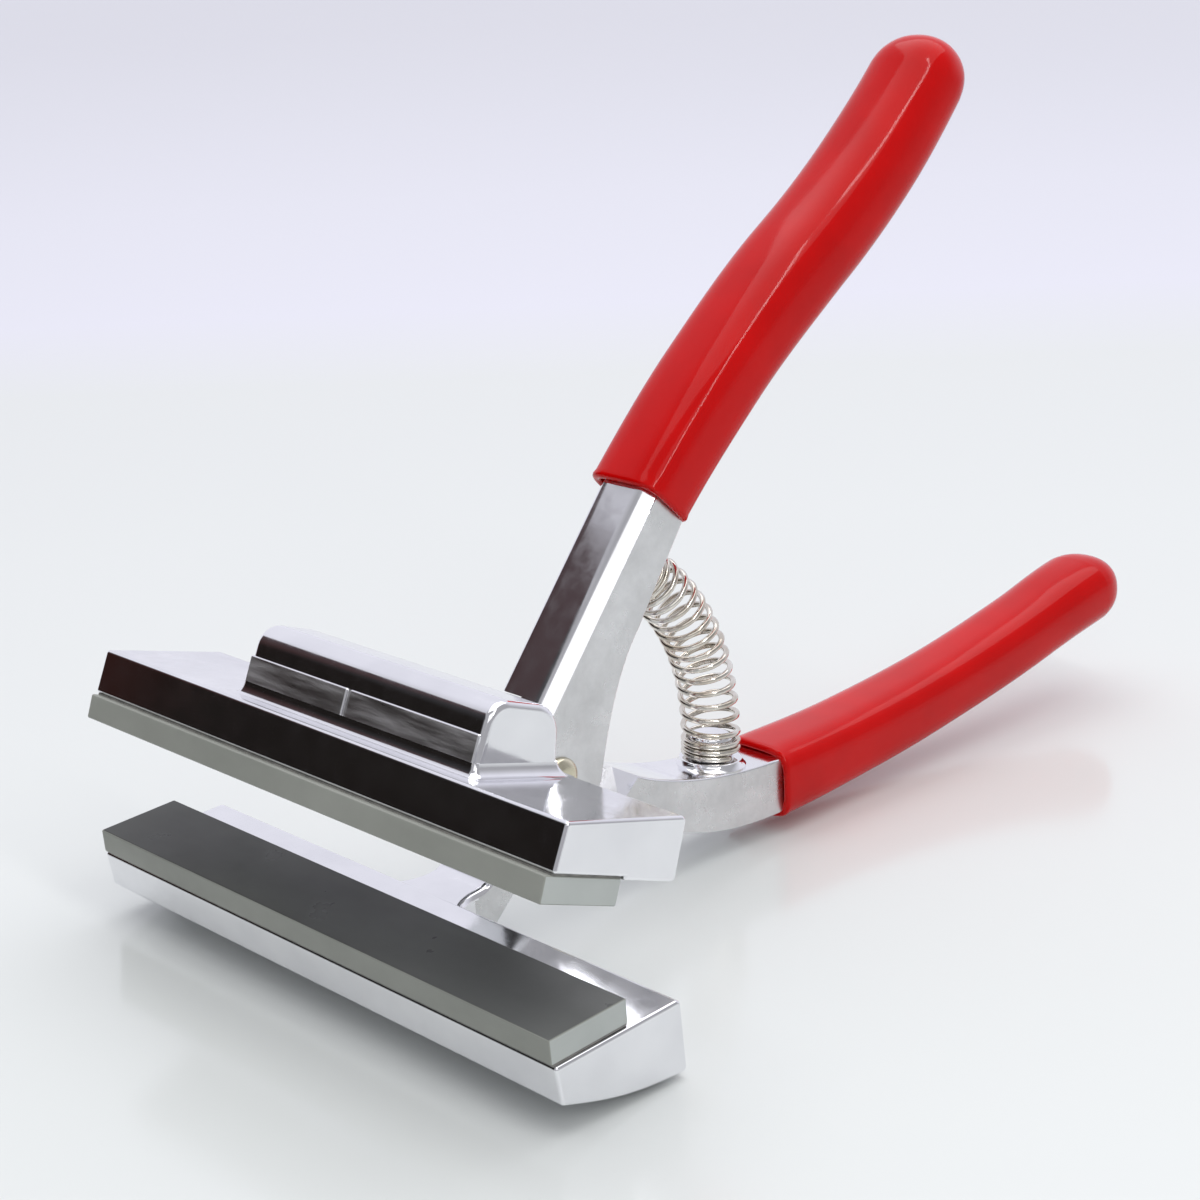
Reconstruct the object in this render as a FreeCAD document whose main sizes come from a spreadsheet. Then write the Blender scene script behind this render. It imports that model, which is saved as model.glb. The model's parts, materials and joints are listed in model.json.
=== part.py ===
import FreeCAD, Part
import math
import os
import Sketcher

# Canvas stretching pliers: two cast levers crossing at one half-lap pivot, wide jaws with
# glued rubber pads, dipped grips and a bent compression spring between the handles.
#
# Each lever is drawn in its own frame: origin on the pivot axis, +X along the jaws,
# +Y towards the handles, +Z up, with the gripping faces of both pads on one level plane.
# Both levers are then turned about the pivot, so the finished tool stands on the lower
# jaw's heel and the lower grip, with its jaws sprung open.

doc = FreeCAD.newDocument("canvas_pliers")
sheet = doc.addObject("Spreadsheet::Sheet", "Sizes")

ACROSS = FreeCAD.Vector(1, 0, 0)

# ---------------------------------------------------------------- driving sizes

SIZES = [
    # overall: jaws and stance
    ("jaw_width", 120),
    ("jaw_reach", 52),              # pads' front edge to the pivot axis
    ("pad_drop", 8.5),              # gripping plane below the pivot axis
    ("jaw_opening", 23.6),          # degrees from closed to open
    ("lower_tilt", 3.5),            # the lower jaw's slope as the tool stands
    # where the pivot axis ends up, found by settle() from the finished pieces
    ("pivot_y", 0),
    ("pivot_height", 0),
    # pads and the adhesive film under each
    ("pad_depth", 15.7),
    ("pad_thickness", 4.3),
    ("pad_end_inset", 0.5),
    ("film_thickness", 0.3),
    ("film_inset", 0.2),
    ("seat_margin", 0.2),           # the metal seat runs on behind the pad by this
    # lower jaw casting
    ("lower_jaw_setback", 0.3),     # pad stands proud of the metal by this
    ("lower_jaw_depth", 26),
    ("lower_ledge_drop", 0.2),
    ("lower_front_height", 6.7),
    ("lower_toe_setback", 0.7),
    ("lower_heel_height", 12.58),
    ("lower_heel_kick", 0.2),         # heel stands out behind the ledge by this
    ("lower_belly", 1.2),           # how far the underside bulges
    # upper jaw casting
    ("upper_jaw_setback", 1.1),
    ("upper_jaw_depth", 25.7),
    ("upper_front_height", 7.7),
    ("upper_front_lean", 0.5),
    ("upper_back_height", 9.7),
    ("upper_back_lean", 0.4),
    ("upper_lip", 0.5),             # lip behind the pad seat
    # hammer boss on the upper jaw
    ("boss_left", -25),
    ("boss_length", 59.5),
    ("boss_front", 5.2),            # behind the jaw's front edge
    ("boss_depth", 17.2),
    ("boss_top", 16.3),             # above the pivot axis
    ("boss_front_lean", 0.3),
    ("boss_back_lean", 3),
    ("boss_sunk", 1),               # roots in the jaw by this
    ("boss_round", 3.6),
    ("casting_round", 0.6),         # every plain edge of the jaws
    # half-lap pivot
    ("arm_width", 13.6),
    ("arm_thickness", 10.7),
    ("arm_chamfer", 2.4),
    ("lobe_radius", 10.5),
    ("lobe_merge", 0.2),            # outlines start inside the lobe's rim by this
    ("lap_gap", 0.3),
    ("lap_clearance", 1),           # lobe to the lap's shoulders
    ("lap_spread", 17),             # the lap's cut runs past the metal on both sides
    ("cut_past", 1),
    ("stop_gap", 0.3),
    ("stop_width", 6.5),
    # necks between the jaws and the lobe
    ("root_overlap", 4),            # necks root in the jaws by this
    ("root_step", 0.4),
    ("neck_heading", 225),
    ("neck_run", 20.7),
    ("neck_flat", 8),
    ("neck_top_angle", 213),
    ("neck_heel_step", 1.2),
    ("crown_low_angle", 205),
    ("crown_bend", 2),
    ("crown_step", 0.2),
    # bare part of the upper handle's arm
    ("arm_heading", 50),
    ("arm_front_inset", 0.4),
    ("arm_back_angle", -17),
    ("arm_back_mid_y", 15.3),
    ("arm_back_mid_z", 11),
    ("arm_back_straight", 20.8),
    ("arm_back_heading", 51.25),
    # bare part of the lower handle's shank
    ("shoulder_y", 19.5),
    ("shoulder_z", 1.3),
    ("shoulder_heading", 61),
    ("shank_top_angle", 8),
    ("shank_top_mid_y", 38),
    ("shank_top_mid_z", 2),
    ("shank_bottom_angle", -95),
    ("shank_bend_y", 37),
    ("shank_bend_z", -8.6),
    ("shank_bottom_mid_y", 49.5),
    ("shank_bottom_mid_z", -7),
    # pivot screw, washer and nut
    ("screw_diameter", 5),
    ("screw_clearance", 0.06),      # radial running fit
    ("screw_end_chamfer", 0.5),
    ("head_overhang", 1.1),
    ("head_height", 1.8),
    ("head_rim_height", 0.4),
    ("head_flat_diameter", 2),      # flat crown of the dome
    ("dome_rise", 0.78),            # the dome's middle: share of the head's height
    ("dome_spread", 0.62),          # and share of its radius
    ("washer_rim", 2.5),
    ("washer_thickness", 1),
    ("washer_gap", 0.1),
    ("nut_wall", 1.5),
    ("nut_height", 4),
    ("thread_proud", 1.2),
    # handle centre lines: start point, start angle, then two tangent arcs
    ("upper_start_y", 30.2),
    ("upper_start_z", 40.6),
    ("upper_angle", 43.5),
    ("upper_arc_one", 250),
    ("upper_turn_one", -13.5),
    ("upper_arc_two", 165),
    ("upper_turn_two", 17.6),
    ("lower_start_y", 59),
    ("lower_start_z", 1.6),
    ("lower_angle", 20.5),
    ("lower_arc_one", 420),
    ("lower_turn_one", 12.5),
    ("lower_arc_two", 200),
    ("lower_turn_two", -5.9),
    # grips
    ("grip_side_wall", 1.7),
    ("grip_wall", 1.75),
    ("grip_corner", 4.9),
    ("grip_clearance", 0.1),
    ("grip_tip_round", 5.6),
    ("core_corner", 2.6),
    ("tip_cover", 6.5),             # solid rubber past the end of the core
    # return spring and its seats
    ("wire_diameter", 1.15),
    ("coil_diameter", 11.3),        # outside
    ("stud_clearance", 0.2),        # stud to the inside of the coil
    ("stud_height", 4.5),
    ("stud_tip_chamfer", 1),
    ("collar_margin", 0.95),
    ("collar_height", 1.2),
    ("collar_foot", 0.2),
    ("seat_sunk", 2),
    ("seat_upper_back", 10.5),      # from the grip's mouth, along the arm's back
    ("seat_upper_in", 1.1),
    ("seat_upper_angle", -38.5),
    ("seat_lower_back", 11.8),
    ("seat_lower_in", 2.7),
    ("seat_lower_angle", 106),
    ("end_turns", 2.5),
    ("open_turns", 13),
    ("coil_seat_gap", 0.06),
    ("closed_coil_gap", 0.07),
    ("spring_lead", 16.5),            # how far each end of the spring holds its seat's direction
]

# Worked out from the sizes above; formulas name other cells.
DERIVED = [
    ("pad_length", "jaw_width - 2 * pad_end_inset"),
    ("lap_reach", "lobe_radius + lap_clearance"),
    ("head_diameter", "screw_diameter + 2 * head_overhang"),
    ("washer_diameter", "screw_diameter + 2 * washer_rim"),
    ("nut_across_flats", "screw_diameter + 2 * nut_wall"),
    ("grip_width", "arm_width + 2 * grip_side_wall"),
    ("grip_thickness", "arm_thickness + 2 * grip_wall"),
    ("stud_diameter", "coil_diameter - 2 * wire_diameter - 2 * stud_clearance"),
    ("collar_diameter", "coil_diameter + 2 * collar_margin"),
    ("arm_half", "arm_width / 2"),
    ("upper_tilt", "lower_tilt - jaw_opening"),
    ("lower_seat_z", "-pad_drop - pad_thickness - film_thickness"),
    ("upper_seat_z", "-pad_drop + pad_thickness + film_thickness"),
    ("stop_reach", "lap_reach - stop_gap"),
    ("coil_radius", "(coil_diameter - wire_diameter) / 2"),
    ("washer_face", "-arm_half - washer_gap"),
    ("nut_face", "washer_face - washer_thickness"),
    ("bore_radius", "screw_diameter / 2 + screw_clearance"),
]


def cell(name, text, row):
    sheet.set("A%d" % row, name)
    sheet.set("B%d" % row, text)
    sheet.setAlias("B%d" % row, name)


def fill_sheet():
    row = 1
    for name, number in SIZES:
        cell(name, str(number), row)
        row += 1
    for name, formula in DERIVED:
        cell(name, "=" + formula, row)
        row += 1
    return row


next_row = fill_sheet()
doc.recompute()


def size(name):
    return float(sheet.get(name))


def derive(name, formula):
    """Adds one worked-out cell to the sheet."""
    global next_row
    cell(name, "=" + formula, next_row)
    next_row += 1


def point(name, y, z):
    """Adds the two cells of a named point in the lever's side view."""
    derive(name + "_y", y)
    derive(name + "_z", z)


def polar(name, start, reach, angle, side="0"):
    """A point at a reach along a direction from a start point, and a distance to its left."""
    y, z = start
    point(name,
          "%s + (%s) * cos((%s) * 1deg) - (%s) * sin((%s) * 1deg)" % (y, reach, angle, side, angle),
          "%s + (%s) * sin((%s) * 1deg) + (%s) * cos((%s) * 1deg)" % (z, reach, angle, side, angle))


def arc_points(name, start, angle, radius, turn):
    """The middle and end of an arc that leaves a start point at an angle and turns left."""
    for part_name, share in (("mid", 0.5), ("end", 1.0)):
        swept = "(%s) * %s / 2" % (turn, share)
        chord = "2 * (%s) * abs(sin((%s) * 1deg))" % (radius, swept)
        polar("%s_%s" % (name, part_name), start, chord, "(%s) + %s" % (angle, swept))


# ---------------------------------------------------------------- sketch helpers

def origin_plane(body, role):
    return [feature for feature in body.Origin.OriginFeatures if feature.Role == role][0]


def side_sketch(body, name, plane="YZ_Plane"):
    sketch = body.newObject("Sketcher::SketchObject", name)
    sketch.AttachmentSupport = [(origin_plane(body, plane), "")]
    sketch.MapMode = "FlatFace"
    return sketch


def place_of(name):
    return FreeCAD.Vector(size(name + "_y"), size(name + "_z"), 0)


def pin(sketch, geometry, which, name):
    """Ties one end of a sketch line or arc to a named point of the sheet."""
    for kind, axis in (("DistanceX", "y"), ("DistanceY", "z")):
        value = size("%s_%s" % (name, axis))
        index = sketch.addConstraint(Sketcher.Constraint(kind, -1, 1, geometry, which, value))
        sketch.setExpression("Constraints[%d]" % index, "Sizes.%s_%s" % (name, axis))


def trace(sketch, names, closed=True):
    """Draws lines through named points; a name after ">" is the middle of an arc."""
    corners = [name for name in names if not name.startswith(">")]
    middles = {}
    for index, name in enumerate(names):
        if name.startswith(">"):
            middles[names[index - 1]] = name[1:]
    pairs = list(zip(corners, corners[1:] + corners[:1]))
    if not closed:
        pairs.pop()
    first = None
    before = None
    for start, end in pairs:
        if start in middles:
            arc = Part.Arc(place_of(start), place_of(middles[start]), place_of(end))
            now = sketch.addGeometry(arc)
            forward = sketch.getPoint(now, 1).distanceToPoint(place_of(start)) < 1e-4
            ends = (1, 2) if forward else (2, 1)
            dot = sketch.addGeometry(Part.Point(place_of(middles[start])), True)
            pin(sketch, dot, 1, middles[start])
            sketch.addConstraint(Sketcher.Constraint("PointOnObject", dot, 1, now))
        else:
            now = sketch.addGeometry(Part.LineSegment(place_of(start), place_of(end)))
            ends = (1, 2)
        pin(sketch, now, ends[0], start)
        if before is not None:
            sketch.addConstraint(Sketcher.Constraint("Coincident", before[0], before[1], now, ends[0]))
        if first is None:
            first = (now, ends[0])
        before = (now, ends[1])
    if closed:
        sketch.addConstraint(Sketcher.Constraint("Coincident", before[0], before[1], first[0], first[1]))
    else:
        pin(sketch, before[0], before[1], corners[-1])


def pad(body, name, sketch, length):
    """Extrudes a side view to both sides of the lever's middle plane."""
    feature = body.newObject("PartDesign::Pad", name)
    feature.Profile = sketch
    feature.SideType = "Symmetric"
    feature.setExpression("Length", length)
    return feature


def round_sketch(body, name, radius, plane="YZ_Plane"):
    """A circle about the lever's pivot axis."""
    sketch = side_sketch(body, name, plane)
    circle = sketch.addGeometry(Part.Circle(FreeCAD.Vector(0, 0, 0), FreeCAD.Vector(0, 0, 1), 5))
    sketch.addConstraint(Sketcher.Constraint("Coincident", circle, 3, -1, 1))
    index = sketch.addConstraint(Sketcher.Constraint("Radius", circle, 5))
    sketch.setExpression("Constraints[%d]" % index, radius)
    return sketch


def lift(piece):
    """Carries a piece from its lever's frame to where the pivot axis stands."""
    piece.setExpression("Placement.Base.y", "Sizes.pivot_y")
    piece.setExpression("Placement.Base.z", "Sizes.pivot_height")


def new_body(name, side):
    """A sub-part in its lever's frame, turned and lifted to where that lever stands."""
    body = doc.addObject("PartDesign::Body", name)
    body.Label = name
    body.Placement.Rotation = FreeCAD.Rotation(ACROSS, size(side + "_tilt"))
    body.setExpression("Placement.Rotation.Angle", "Sizes.%s_tilt * 1deg" % side)
    lift(body)
    return body


def edges_where(feature, test):
    """Names of a feature's edges for which the test holds at every sample point."""
    names = []
    for number, edge in enumerate(feature.Shape.Edges, 1):
        samples = [edge.valueAt(edge.FirstParameter + (edge.LastParameter - edge.FirstParameter) * share)
                   for share in (0, 0.5, 1)]
        if all(test(sample) for sample in samples):
            names.append("Edge%d" % number)
    return names


def dress(body, kind, name, base, edges, expression):
    """Adds a fillet or chamfer to the named edges of the body's last feature."""
    feature = body.newObject("PartDesign::" + kind, name)
    feature.Base = (base, edges)
    feature.setExpression("Radius" if kind == "Fillet" else "Size", expression)
    return feature


# ---------------------------------------------------------------- named points

def handle_points(side):
    """The handle's centre line and the metal's two corners at the grip's mouth."""
    start = (side + "_start_y", side + "_start_z")
    angle = side + "_angle"
    arc_points(side + "_one", start, angle, side + "_arc_one", side + "_turn_one")
    middle = (side + "_one_end_y", side + "_one_end_z")
    second_angle = "(%s + %s_turn_one)" % (angle, side)
    arc_points(side + "_two", middle, second_angle, side + "_arc_two", side + "_turn_two")
    filled = "(1 - tip_cover / (%s_arc_two * abs(%s_turn_two) * pi / 180))" % (side, side)
    arc_points(side + "_core", middle, second_angle, side + "_arc_two", "%s_turn_two * %s" % (side, filled))
    polar(side + "_mouth_left", start, "0", angle, "arm_thickness / 2")
    polar(side + "_mouth_right", start, "0", angle, "-arm_thickness / 2")


def seat_points(side):
    """The spring's seat on a lever: a low collar with a stud standing on it."""
    start = ("seat_%s_y" % side, "seat_%s_z" % side)
    angle = "seat_%s_angle" % side
    stud_end = "collar_height + stud_height"
    corners = [("sunk_axis", "-seat_sunk", "0"),
               ("sunk_rim", "-seat_sunk", "collar_diameter / 2"),
               ("foot_rim", "collar_foot", "collar_diameter / 2"),
               ("collar_rim", "collar_height", "coil_diameter / 2"),
               ("stud_root", "collar_height", "stud_diameter / 2"),
               ("stud_rim", stud_end + " - stud_tip_chamfer", "stud_diameter / 2"),
               ("stud_tip_rim", stud_end, "stud_diameter / 2 - stud_tip_chamfer"),
               ("stud_axis", stud_end, "0")]
    for name, reach, radius in corners:
        polar("%s_%s" % (side, name), start, reach, angle, radius)


def lower_jaw_points():
    """The lower jaw seen from its end, and its neck up to the pivot lobe."""
    point("lower_seat_front", "-jaw_reach + lower_jaw_setback", "lower_seat_z")
    point("lower_seat_back", "-jaw_reach + pad_depth + seat_margin", "lower_seat_z")
    point("lower_ledge_back", "lower_seat_front_y + lower_jaw_depth", "lower_seat_z - lower_ledge_drop")
    point("lower_heel", "lower_ledge_back_y + lower_heel_kick", "lower_ledge_back_z - lower_heel_height")
    point("lower_toe", "lower_seat_front_y + lower_toe_setback", "lower_seat_z - lower_front_height")
    point("lower_underside", "(lower_heel_y + lower_toe_y) / 2",
          "(lower_heel_z + lower_toe_z) / 2 - lower_belly")
    point("neck_root_top", "lower_ledge_back_y - root_overlap", "lower_ledge_back_z - root_step")
    point("neck_bend_top", "-lobe_radius - neck_flat", "neck_root_top_z")
    polar("neck_lobe_top", ("0", "0"), "lobe_radius - lobe_merge", "neck_top_angle")
    polar("neck_lobe_bottom", ("0", "0"), "0", "neck_heading", "lobe_radius")
    polar("neck_bend_bottom", ("neck_lobe_bottom_y", "neck_lobe_bottom_z"), "neck_run", "neck_heading")
    point("neck_root_bottom", "lower_heel_y - root_overlap", "lower_heel_z + neck_heel_step")


def upper_arm_points():
    """The bare arm from the lobe to the upper grip's mouth, and the lap cut on its far side."""
    polar("arm_lobe_front", ("0", "0"), "0", "arm_heading", "lobe_radius - arm_front_inset")
    polar("arm_lobe_back", ("0", "0"), "lobe_radius", "arm_back_angle")
    polar("arm_back_end", ("upper_mouth_right_y", "upper_mouth_right_z"), "-arm_back_straight",
          "arm_back_heading")
    polar("far_arm_high", ("0", "0"), "lap_reach", "arm_heading", "lap_spread")
    polar("far_arm_low", ("0", "0"), "lap_reach", "arm_heading", "-lap_spread")
    polar("far_neck_low", ("0", "0"), "lap_reach", "neck_heading", "lap_spread")
    polar("far_neck_high", ("0", "0"), "lap_reach", "neck_heading", "-lap_spread")


def upper_jaw_points():
    """The upper jaw seen from its end, its boss, and its neck with the opening stop on top."""
    point("upper_front_bottom", "-jaw_reach + upper_jaw_setback", "upper_seat_z")
    point("upper_front_top", "upper_front_bottom_y + upper_front_lean", "upper_seat_z + upper_front_height")
    point("upper_seat_back", "-jaw_reach + pad_depth + seat_margin", "upper_seat_z")
    point("upper_lip_front", "upper_seat_back_y", "upper_seat_z - upper_lip")
    point("upper_back_bottom", "upper_front_bottom_y + upper_jaw_depth", "upper_seat_z - upper_lip")
    point("upper_back_top", "upper_back_bottom_y - upper_back_lean", "upper_seat_z + upper_back_height")
    point("boss_front_foot", "upper_front_top_y + boss_front", "upper_front_top_z - boss_sunk")
    point("boss_front_top", "boss_front_foot_y - boss_front_lean", "boss_top")
    point("boss_back_top", "boss_front_foot_y + boss_depth - boss_back_lean", "boss_top")
    point("boss_back_foot", "boss_front_foot_y + boss_depth", "upper_front_top_z - boss_sunk")
    point("crown_root_top", "upper_back_top_y - root_overlap", "upper_back_top_z - root_step")
    polar("crown_stop_front", ("0", "0"), "stop_reach", "arm_heading + jaw_opening", "stop_width")
    polar("crown_stop_back", ("0", "0"), "stop_reach", "arm_heading + jaw_opening")
    polar("crown_lobe_low", ("0", "0"), "lobe_radius - lobe_merge", "crown_low_angle")
    point("crown_root_bottom", "upper_back_bottom_y - root_overlap", "upper_back_bottom_z + crown_step")
    point("crown_bend_bottom", "crown_lobe_low_y - crown_bend", "crown_root_bottom_z")


def lower_shank_points():
    """The bare shank from the lobe to the lower grip's mouth, and the lap cut on its near side."""
    polar("shank_lobe_top", ("0", "0"), "lobe_radius - lobe_merge", "shank_top_angle")
    polar("shank_lobe_bottom", ("0", "0"), "lobe_radius - lobe_merge", "shank_bottom_angle")
    point("near_neck_high", "-lap_reach", "lap_spread")
    point("near_neck_low", "-lap_reach", "-lap_spread")
    polar("near_arm_low", ("shoulder_y", "shoulder_z"), "-lap_spread", "shoulder_heading")
    polar("near_arm_high", ("shoulder_y", "shoulder_z"), "lap_spread", "shoulder_heading")


def pad_points(side, film_side):
    """A pad and the adhesive film between it and its seat; film_side is -1 where the seat is above."""
    film = "%s_seat_z + %d * film_thickness" % (side, film_side)
    seat = side + "_seat_z"
    back = "-jaw_reach + pad_depth"
    point(side + "_pad_face_front", "-jaw_reach", "-pad_drop")
    point(side + "_pad_face_back", back, "-pad_drop")
    point(side + "_pad_glued_back", back, film)
    point(side + "_pad_glued_front", "-jaw_reach", film)
    front = side + "_metal_front_y + film_inset"
    derive(side + "_metal_front_y", "-jaw_reach + %s_jaw_setback" % side)
    point(side + "_film_front", front, film)
    point(side + "_film_back", back + " - film_inset", film)
    point(side + "_film_seat_back", back + " - film_inset", seat)
    point(side + "_film_seat_front", front, seat)


def pivot_points():
    """The fastener, drawn as distance along the pivot axis and distance from it."""
    end = "nut_face - nut_height - thread_proud"
    point("screw_end_axis", end, "0")
    point("screw_end_rim", end, "screw_diameter / 2 - screw_end_chamfer")
    point("screw_end_shank", end + " + screw_end_chamfer", "screw_diameter / 2")
    point("screw_under_head", "arm_half", "screw_diameter / 2")
    point("head_rim", "arm_half", "head_diameter / 2")
    point("head_edge", "arm_half + head_rim_height", "head_diameter / 2")
    point("head_dome", "arm_half + head_height * dome_rise", "head_diameter / 2 * dome_spread")
    point("head_crown", "arm_half + head_height", "head_flat_diameter / 2")
    point("head_axis", "arm_half + head_height", "0")
    point("washer_inner_near", "washer_face", "bore_radius")
    point("washer_outer_near", "washer_face", "washer_diameter / 2")
    point("washer_outer_far", "nut_face", "washer_diameter / 2")
    point("washer_inner_far", "nut_face", "bore_radius")


for side in ("upper", "lower"):
    handle_points(side)
polar("seat_upper", ("upper_mouth_right_y", "upper_mouth_right_z"), "-seat_upper_back",
      "arm_back_heading", "seat_upper_in")
point("seat_lower", "lower_mouth_left_y - seat_lower_back", "lower_mouth_left_z - seat_lower_in")
for side in ("upper", "lower"):
    seat_points(side)
lower_jaw_points()
upper_arm_points()
upper_jaw_points()
lower_shank_points()
pad_points("lower", 1)
pad_points("upper", -1)
pivot_points()
doc.recompute()


# ---------------------------------------------------------------- shared features

def oval_sketch(body, name, side, width, thickness, corner):
    """A round-cornered rectangle square to the handle's centre line at its start."""
    sketch = side_sketch(body, name, "XZ_Plane")
    sketch.AttachmentOffset = FreeCAD.Placement(
        FreeCAD.Vector(0, size(side + "_start_z"), -size(side + "_start_y")),
        FreeCAD.Rotation(ACROSS, size(side + "_angle")))
    sketch.setExpression("AttachmentOffset.Base.y", "Sizes.%s_start_z" % side)
    sketch.setExpression("AttachmentOffset.Base.z", "-Sizes.%s_start_y" % side)
    sketch.setExpression("AttachmentOffset.Rotation.Angle", "Sizes.%s_angle * 1deg" % side)
    half_width, half_thick, radius = [number(value) for value in (width, thickness, corner)]
    quarter = math.pi / 2
    centres = [(half_width - radius, half_thick - radius), (radius - half_width, half_thick - radius),
               (radius - half_width, radius - half_thick), (half_width - radius, radius - half_thick)]
    arcs = []
    for turn, (across, up) in enumerate(centres):
        circle = Part.Circle(FreeCAD.Vector(across, up, 0), FreeCAD.Vector(0, 0, 1), radius)
        arcs.append(sketch.addGeometry(Part.ArcOfCircle(circle, turn * quarter, (turn + 1) * quarter)))
    for turn, arc in enumerate(arcs):
        following = arcs[(turn + 1) % 4]
        start = sketch.Geometry[arc].EndPoint
        end = sketch.Geometry[following].StartPoint
        line = sketch.addGeometry(Part.LineSegment(start, end))
        sketch.addConstraint(Sketcher.Constraint("Tangent", arc, 2, line, 1))
        sketch.addConstraint(Sketcher.Constraint("Tangent", line, 2, following, 1))
        sketch.addConstraint(Sketcher.Constraint("Horizontal" if turn % 2 == 0 else "Vertical", line))
    for other in arcs[1:]:
        sketch.addConstraint(Sketcher.Constraint("Equal", arcs[0], other))
    for kind, arc, value, formula in (("DistanceX", arcs[0], half_width - radius, "(%s) - (%s)" % (width, corner)),
                                      ("DistanceY", arcs[0], half_thick - radius, "(%s) - (%s)" % (thickness, corner)),
                                      ("DistanceX", arcs[2], radius - half_width, "(%s) - (%s)" % (corner, width)),
                                      ("DistanceY", arcs[2], radius - half_thick, "(%s) - (%s)" % (corner, thickness))):
        index = sketch.addConstraint(Sketcher.Constraint(kind, -1, 1, arc, 3, value))
        sketch.setExpression("Constraints[%d]" % index, formula)
    index = sketch.addConstraint(Sketcher.Constraint("Radius", arcs[0], radius))
    sketch.setExpression("Constraints[%d]" % index, corner)
    return sketch


def number(formula):
    """The value of a short formula in the sheet's cells."""
    sheet.set("D1", "=" + formula.replace("Sizes.", ""))
    sheet.recompute()
    return float(sheet.get("D1"))


def handle_pipe(body, kind, name, side, last, section):
    """Sweeps a section along the handle's centre line."""
    spine = side_sketch(body, name + "_line")
    trace(spine, [side + "_start", ">" + side + "_one_mid", side + "_one_end",
                  ">%s_%s_mid" % (side, last), "%s_%s_end" % (side, last)], closed=False)
    doc.recompute()
    pipe = body.newObject("PartDesign::" + kind, name)
    pipe.Profile = section
    pipe.Spine = spine
    return pipe


def spring_seat(body, side):
    """Turns the collar and stud that centre one end of the spring."""
    sketch = side_sketch(body, "seat_section")
    trace(sketch, ["%s_%s" % (side, name) for name in
                   ("sunk_axis", "sunk_rim", "foot_rim", "collar_rim", "stud_root",
                    "stud_rim", "stud_tip_rim", "stud_axis")])
    axis = sketch.addGeometry(Part.LineSegment(place_of(side + "_sunk_axis"), place_of(side + "_stud_axis")), True)
    for which, name in ((1, "_sunk_axis"), (2, "_stud_axis")):
        pin(sketch, axis, which, side + name)
    doc.recompute()
    turned = body.newObject("PartDesign::Revolution", "spring_seat")
    turned.Profile = sketch
    turned.ReferenceAxis = (sketch, ["Axis0"])
    turned.Angle = 360
    return turned


def lap_pocket(body, name, corners, toward_near):
    """Cuts the half of the lever that its partner crosses, from the middle plane outwards."""
    sketch = side_sketch(body, name + "_outline")
    trace(sketch, corners)
    gap = "Sizes.lap_gap / 2"
    sketch.setExpression("AttachmentOffset.Base.z", "-" + gap if toward_near else gap)
    doc.recompute()
    before = body.Shape.Volume
    pocket = body.newObject("PartDesign::Pocket", name)
    pocket.Profile = sketch
    pocket.Reversed = toward_near
    pocket.setExpression("Length", "Sizes.arm_half + Sizes.cut_past")
    doc.recompute()
    if pocket.Shape.Volume >= before:
        raise RuntimeError(name + " cuts nothing")
    return pocket


def along_line(start, end, half_width):
    """True for points on the two long side edges that run from one named point to another."""
    first, last = place_of(start), place_of(end)
    run = (last - first).normalize()

    def test(spot):
        offset = FreeCAD.Vector(spot.y, spot.z, 0) - first
        return abs(abs(spot.x) - half_width) < 1e-3 and abs(run.x * offset.y - run.y * offset.x) < 1e-3
    return test


def pivot_bore(body):
    """The hole for the pivot screw, straight through both halves of the lap."""
    bore = body.newObject("PartDesign::Pocket", "pivot_bore")
    bore.Profile = round_sketch(body, "bore_outline", "Sizes.bore_radius")
    bore.Type = "ThroughAll"
    bore.SideType = "Symmetric"
    return bore


# ---------------------------------------------------------------- the castings

def lower_jaw_lever():
    body = new_body("lower_jaw_lever", "lower")
    profile = side_sketch(body, "jaw_profile")
    trace(profile, ["lower_seat_front", "lower_seat_back", "lower_ledge_back", "lower_heel",
                    ">lower_underside", "lower_toe"])
    jaw = pad(body, "jaw", profile, "Sizes.jaw_width")
    doc.recompute()
    dress(body, "Fillet", "jaw_edges", jaw, edges_where(jaw, lambda spot: True), "Sizes.casting_round")
    neck = side_sketch(body, "neck_outline")
    trace(neck, ["neck_root_top", "neck_bend_top", "neck_lobe_top", "neck_lobe_bottom",
                 "neck_bend_bottom", "neck_root_bottom"])
    pad(body, "neck", neck, "Sizes.arm_width")
    pad(body, "lobe", round_sketch(body, "lobe_outline", "Sizes.lobe_radius"), "Sizes.arm_width")
    arm = side_sketch(body, "arm_outline")
    trace(arm, ["arm_lobe_front", "arm_lobe_back", ">arm_back_mid", "arm_back_end",
                "upper_mouth_right", "upper_mouth_left"])
    plain = pad(body, "arm", arm, "Sizes.arm_width")
    doc.recompute()
    test = along_line("arm_lobe_front", "upper_mouth_left", size("arm_half"))
    dress(body, "Chamfer", "arm_chamfer", plain, edges_where(plain, test), "Sizes.arm_chamfer")
    doc.recompute()
    lap_pocket(body, "lap", ["far_arm_high", "far_arm_low", "far_neck_low", "far_neck_high"], False)
    spring_seat(body, "upper")
    section = oval_sketch(body, "core_section", "upper", "Sizes.arm_half", "Sizes.arm_thickness / 2",
                          "Sizes.core_corner")
    handle_pipe(body, "AdditivePipe", "core", "upper", "core", section)
    pivot_bore(body)
    doc.recompute()
    return body


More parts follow.
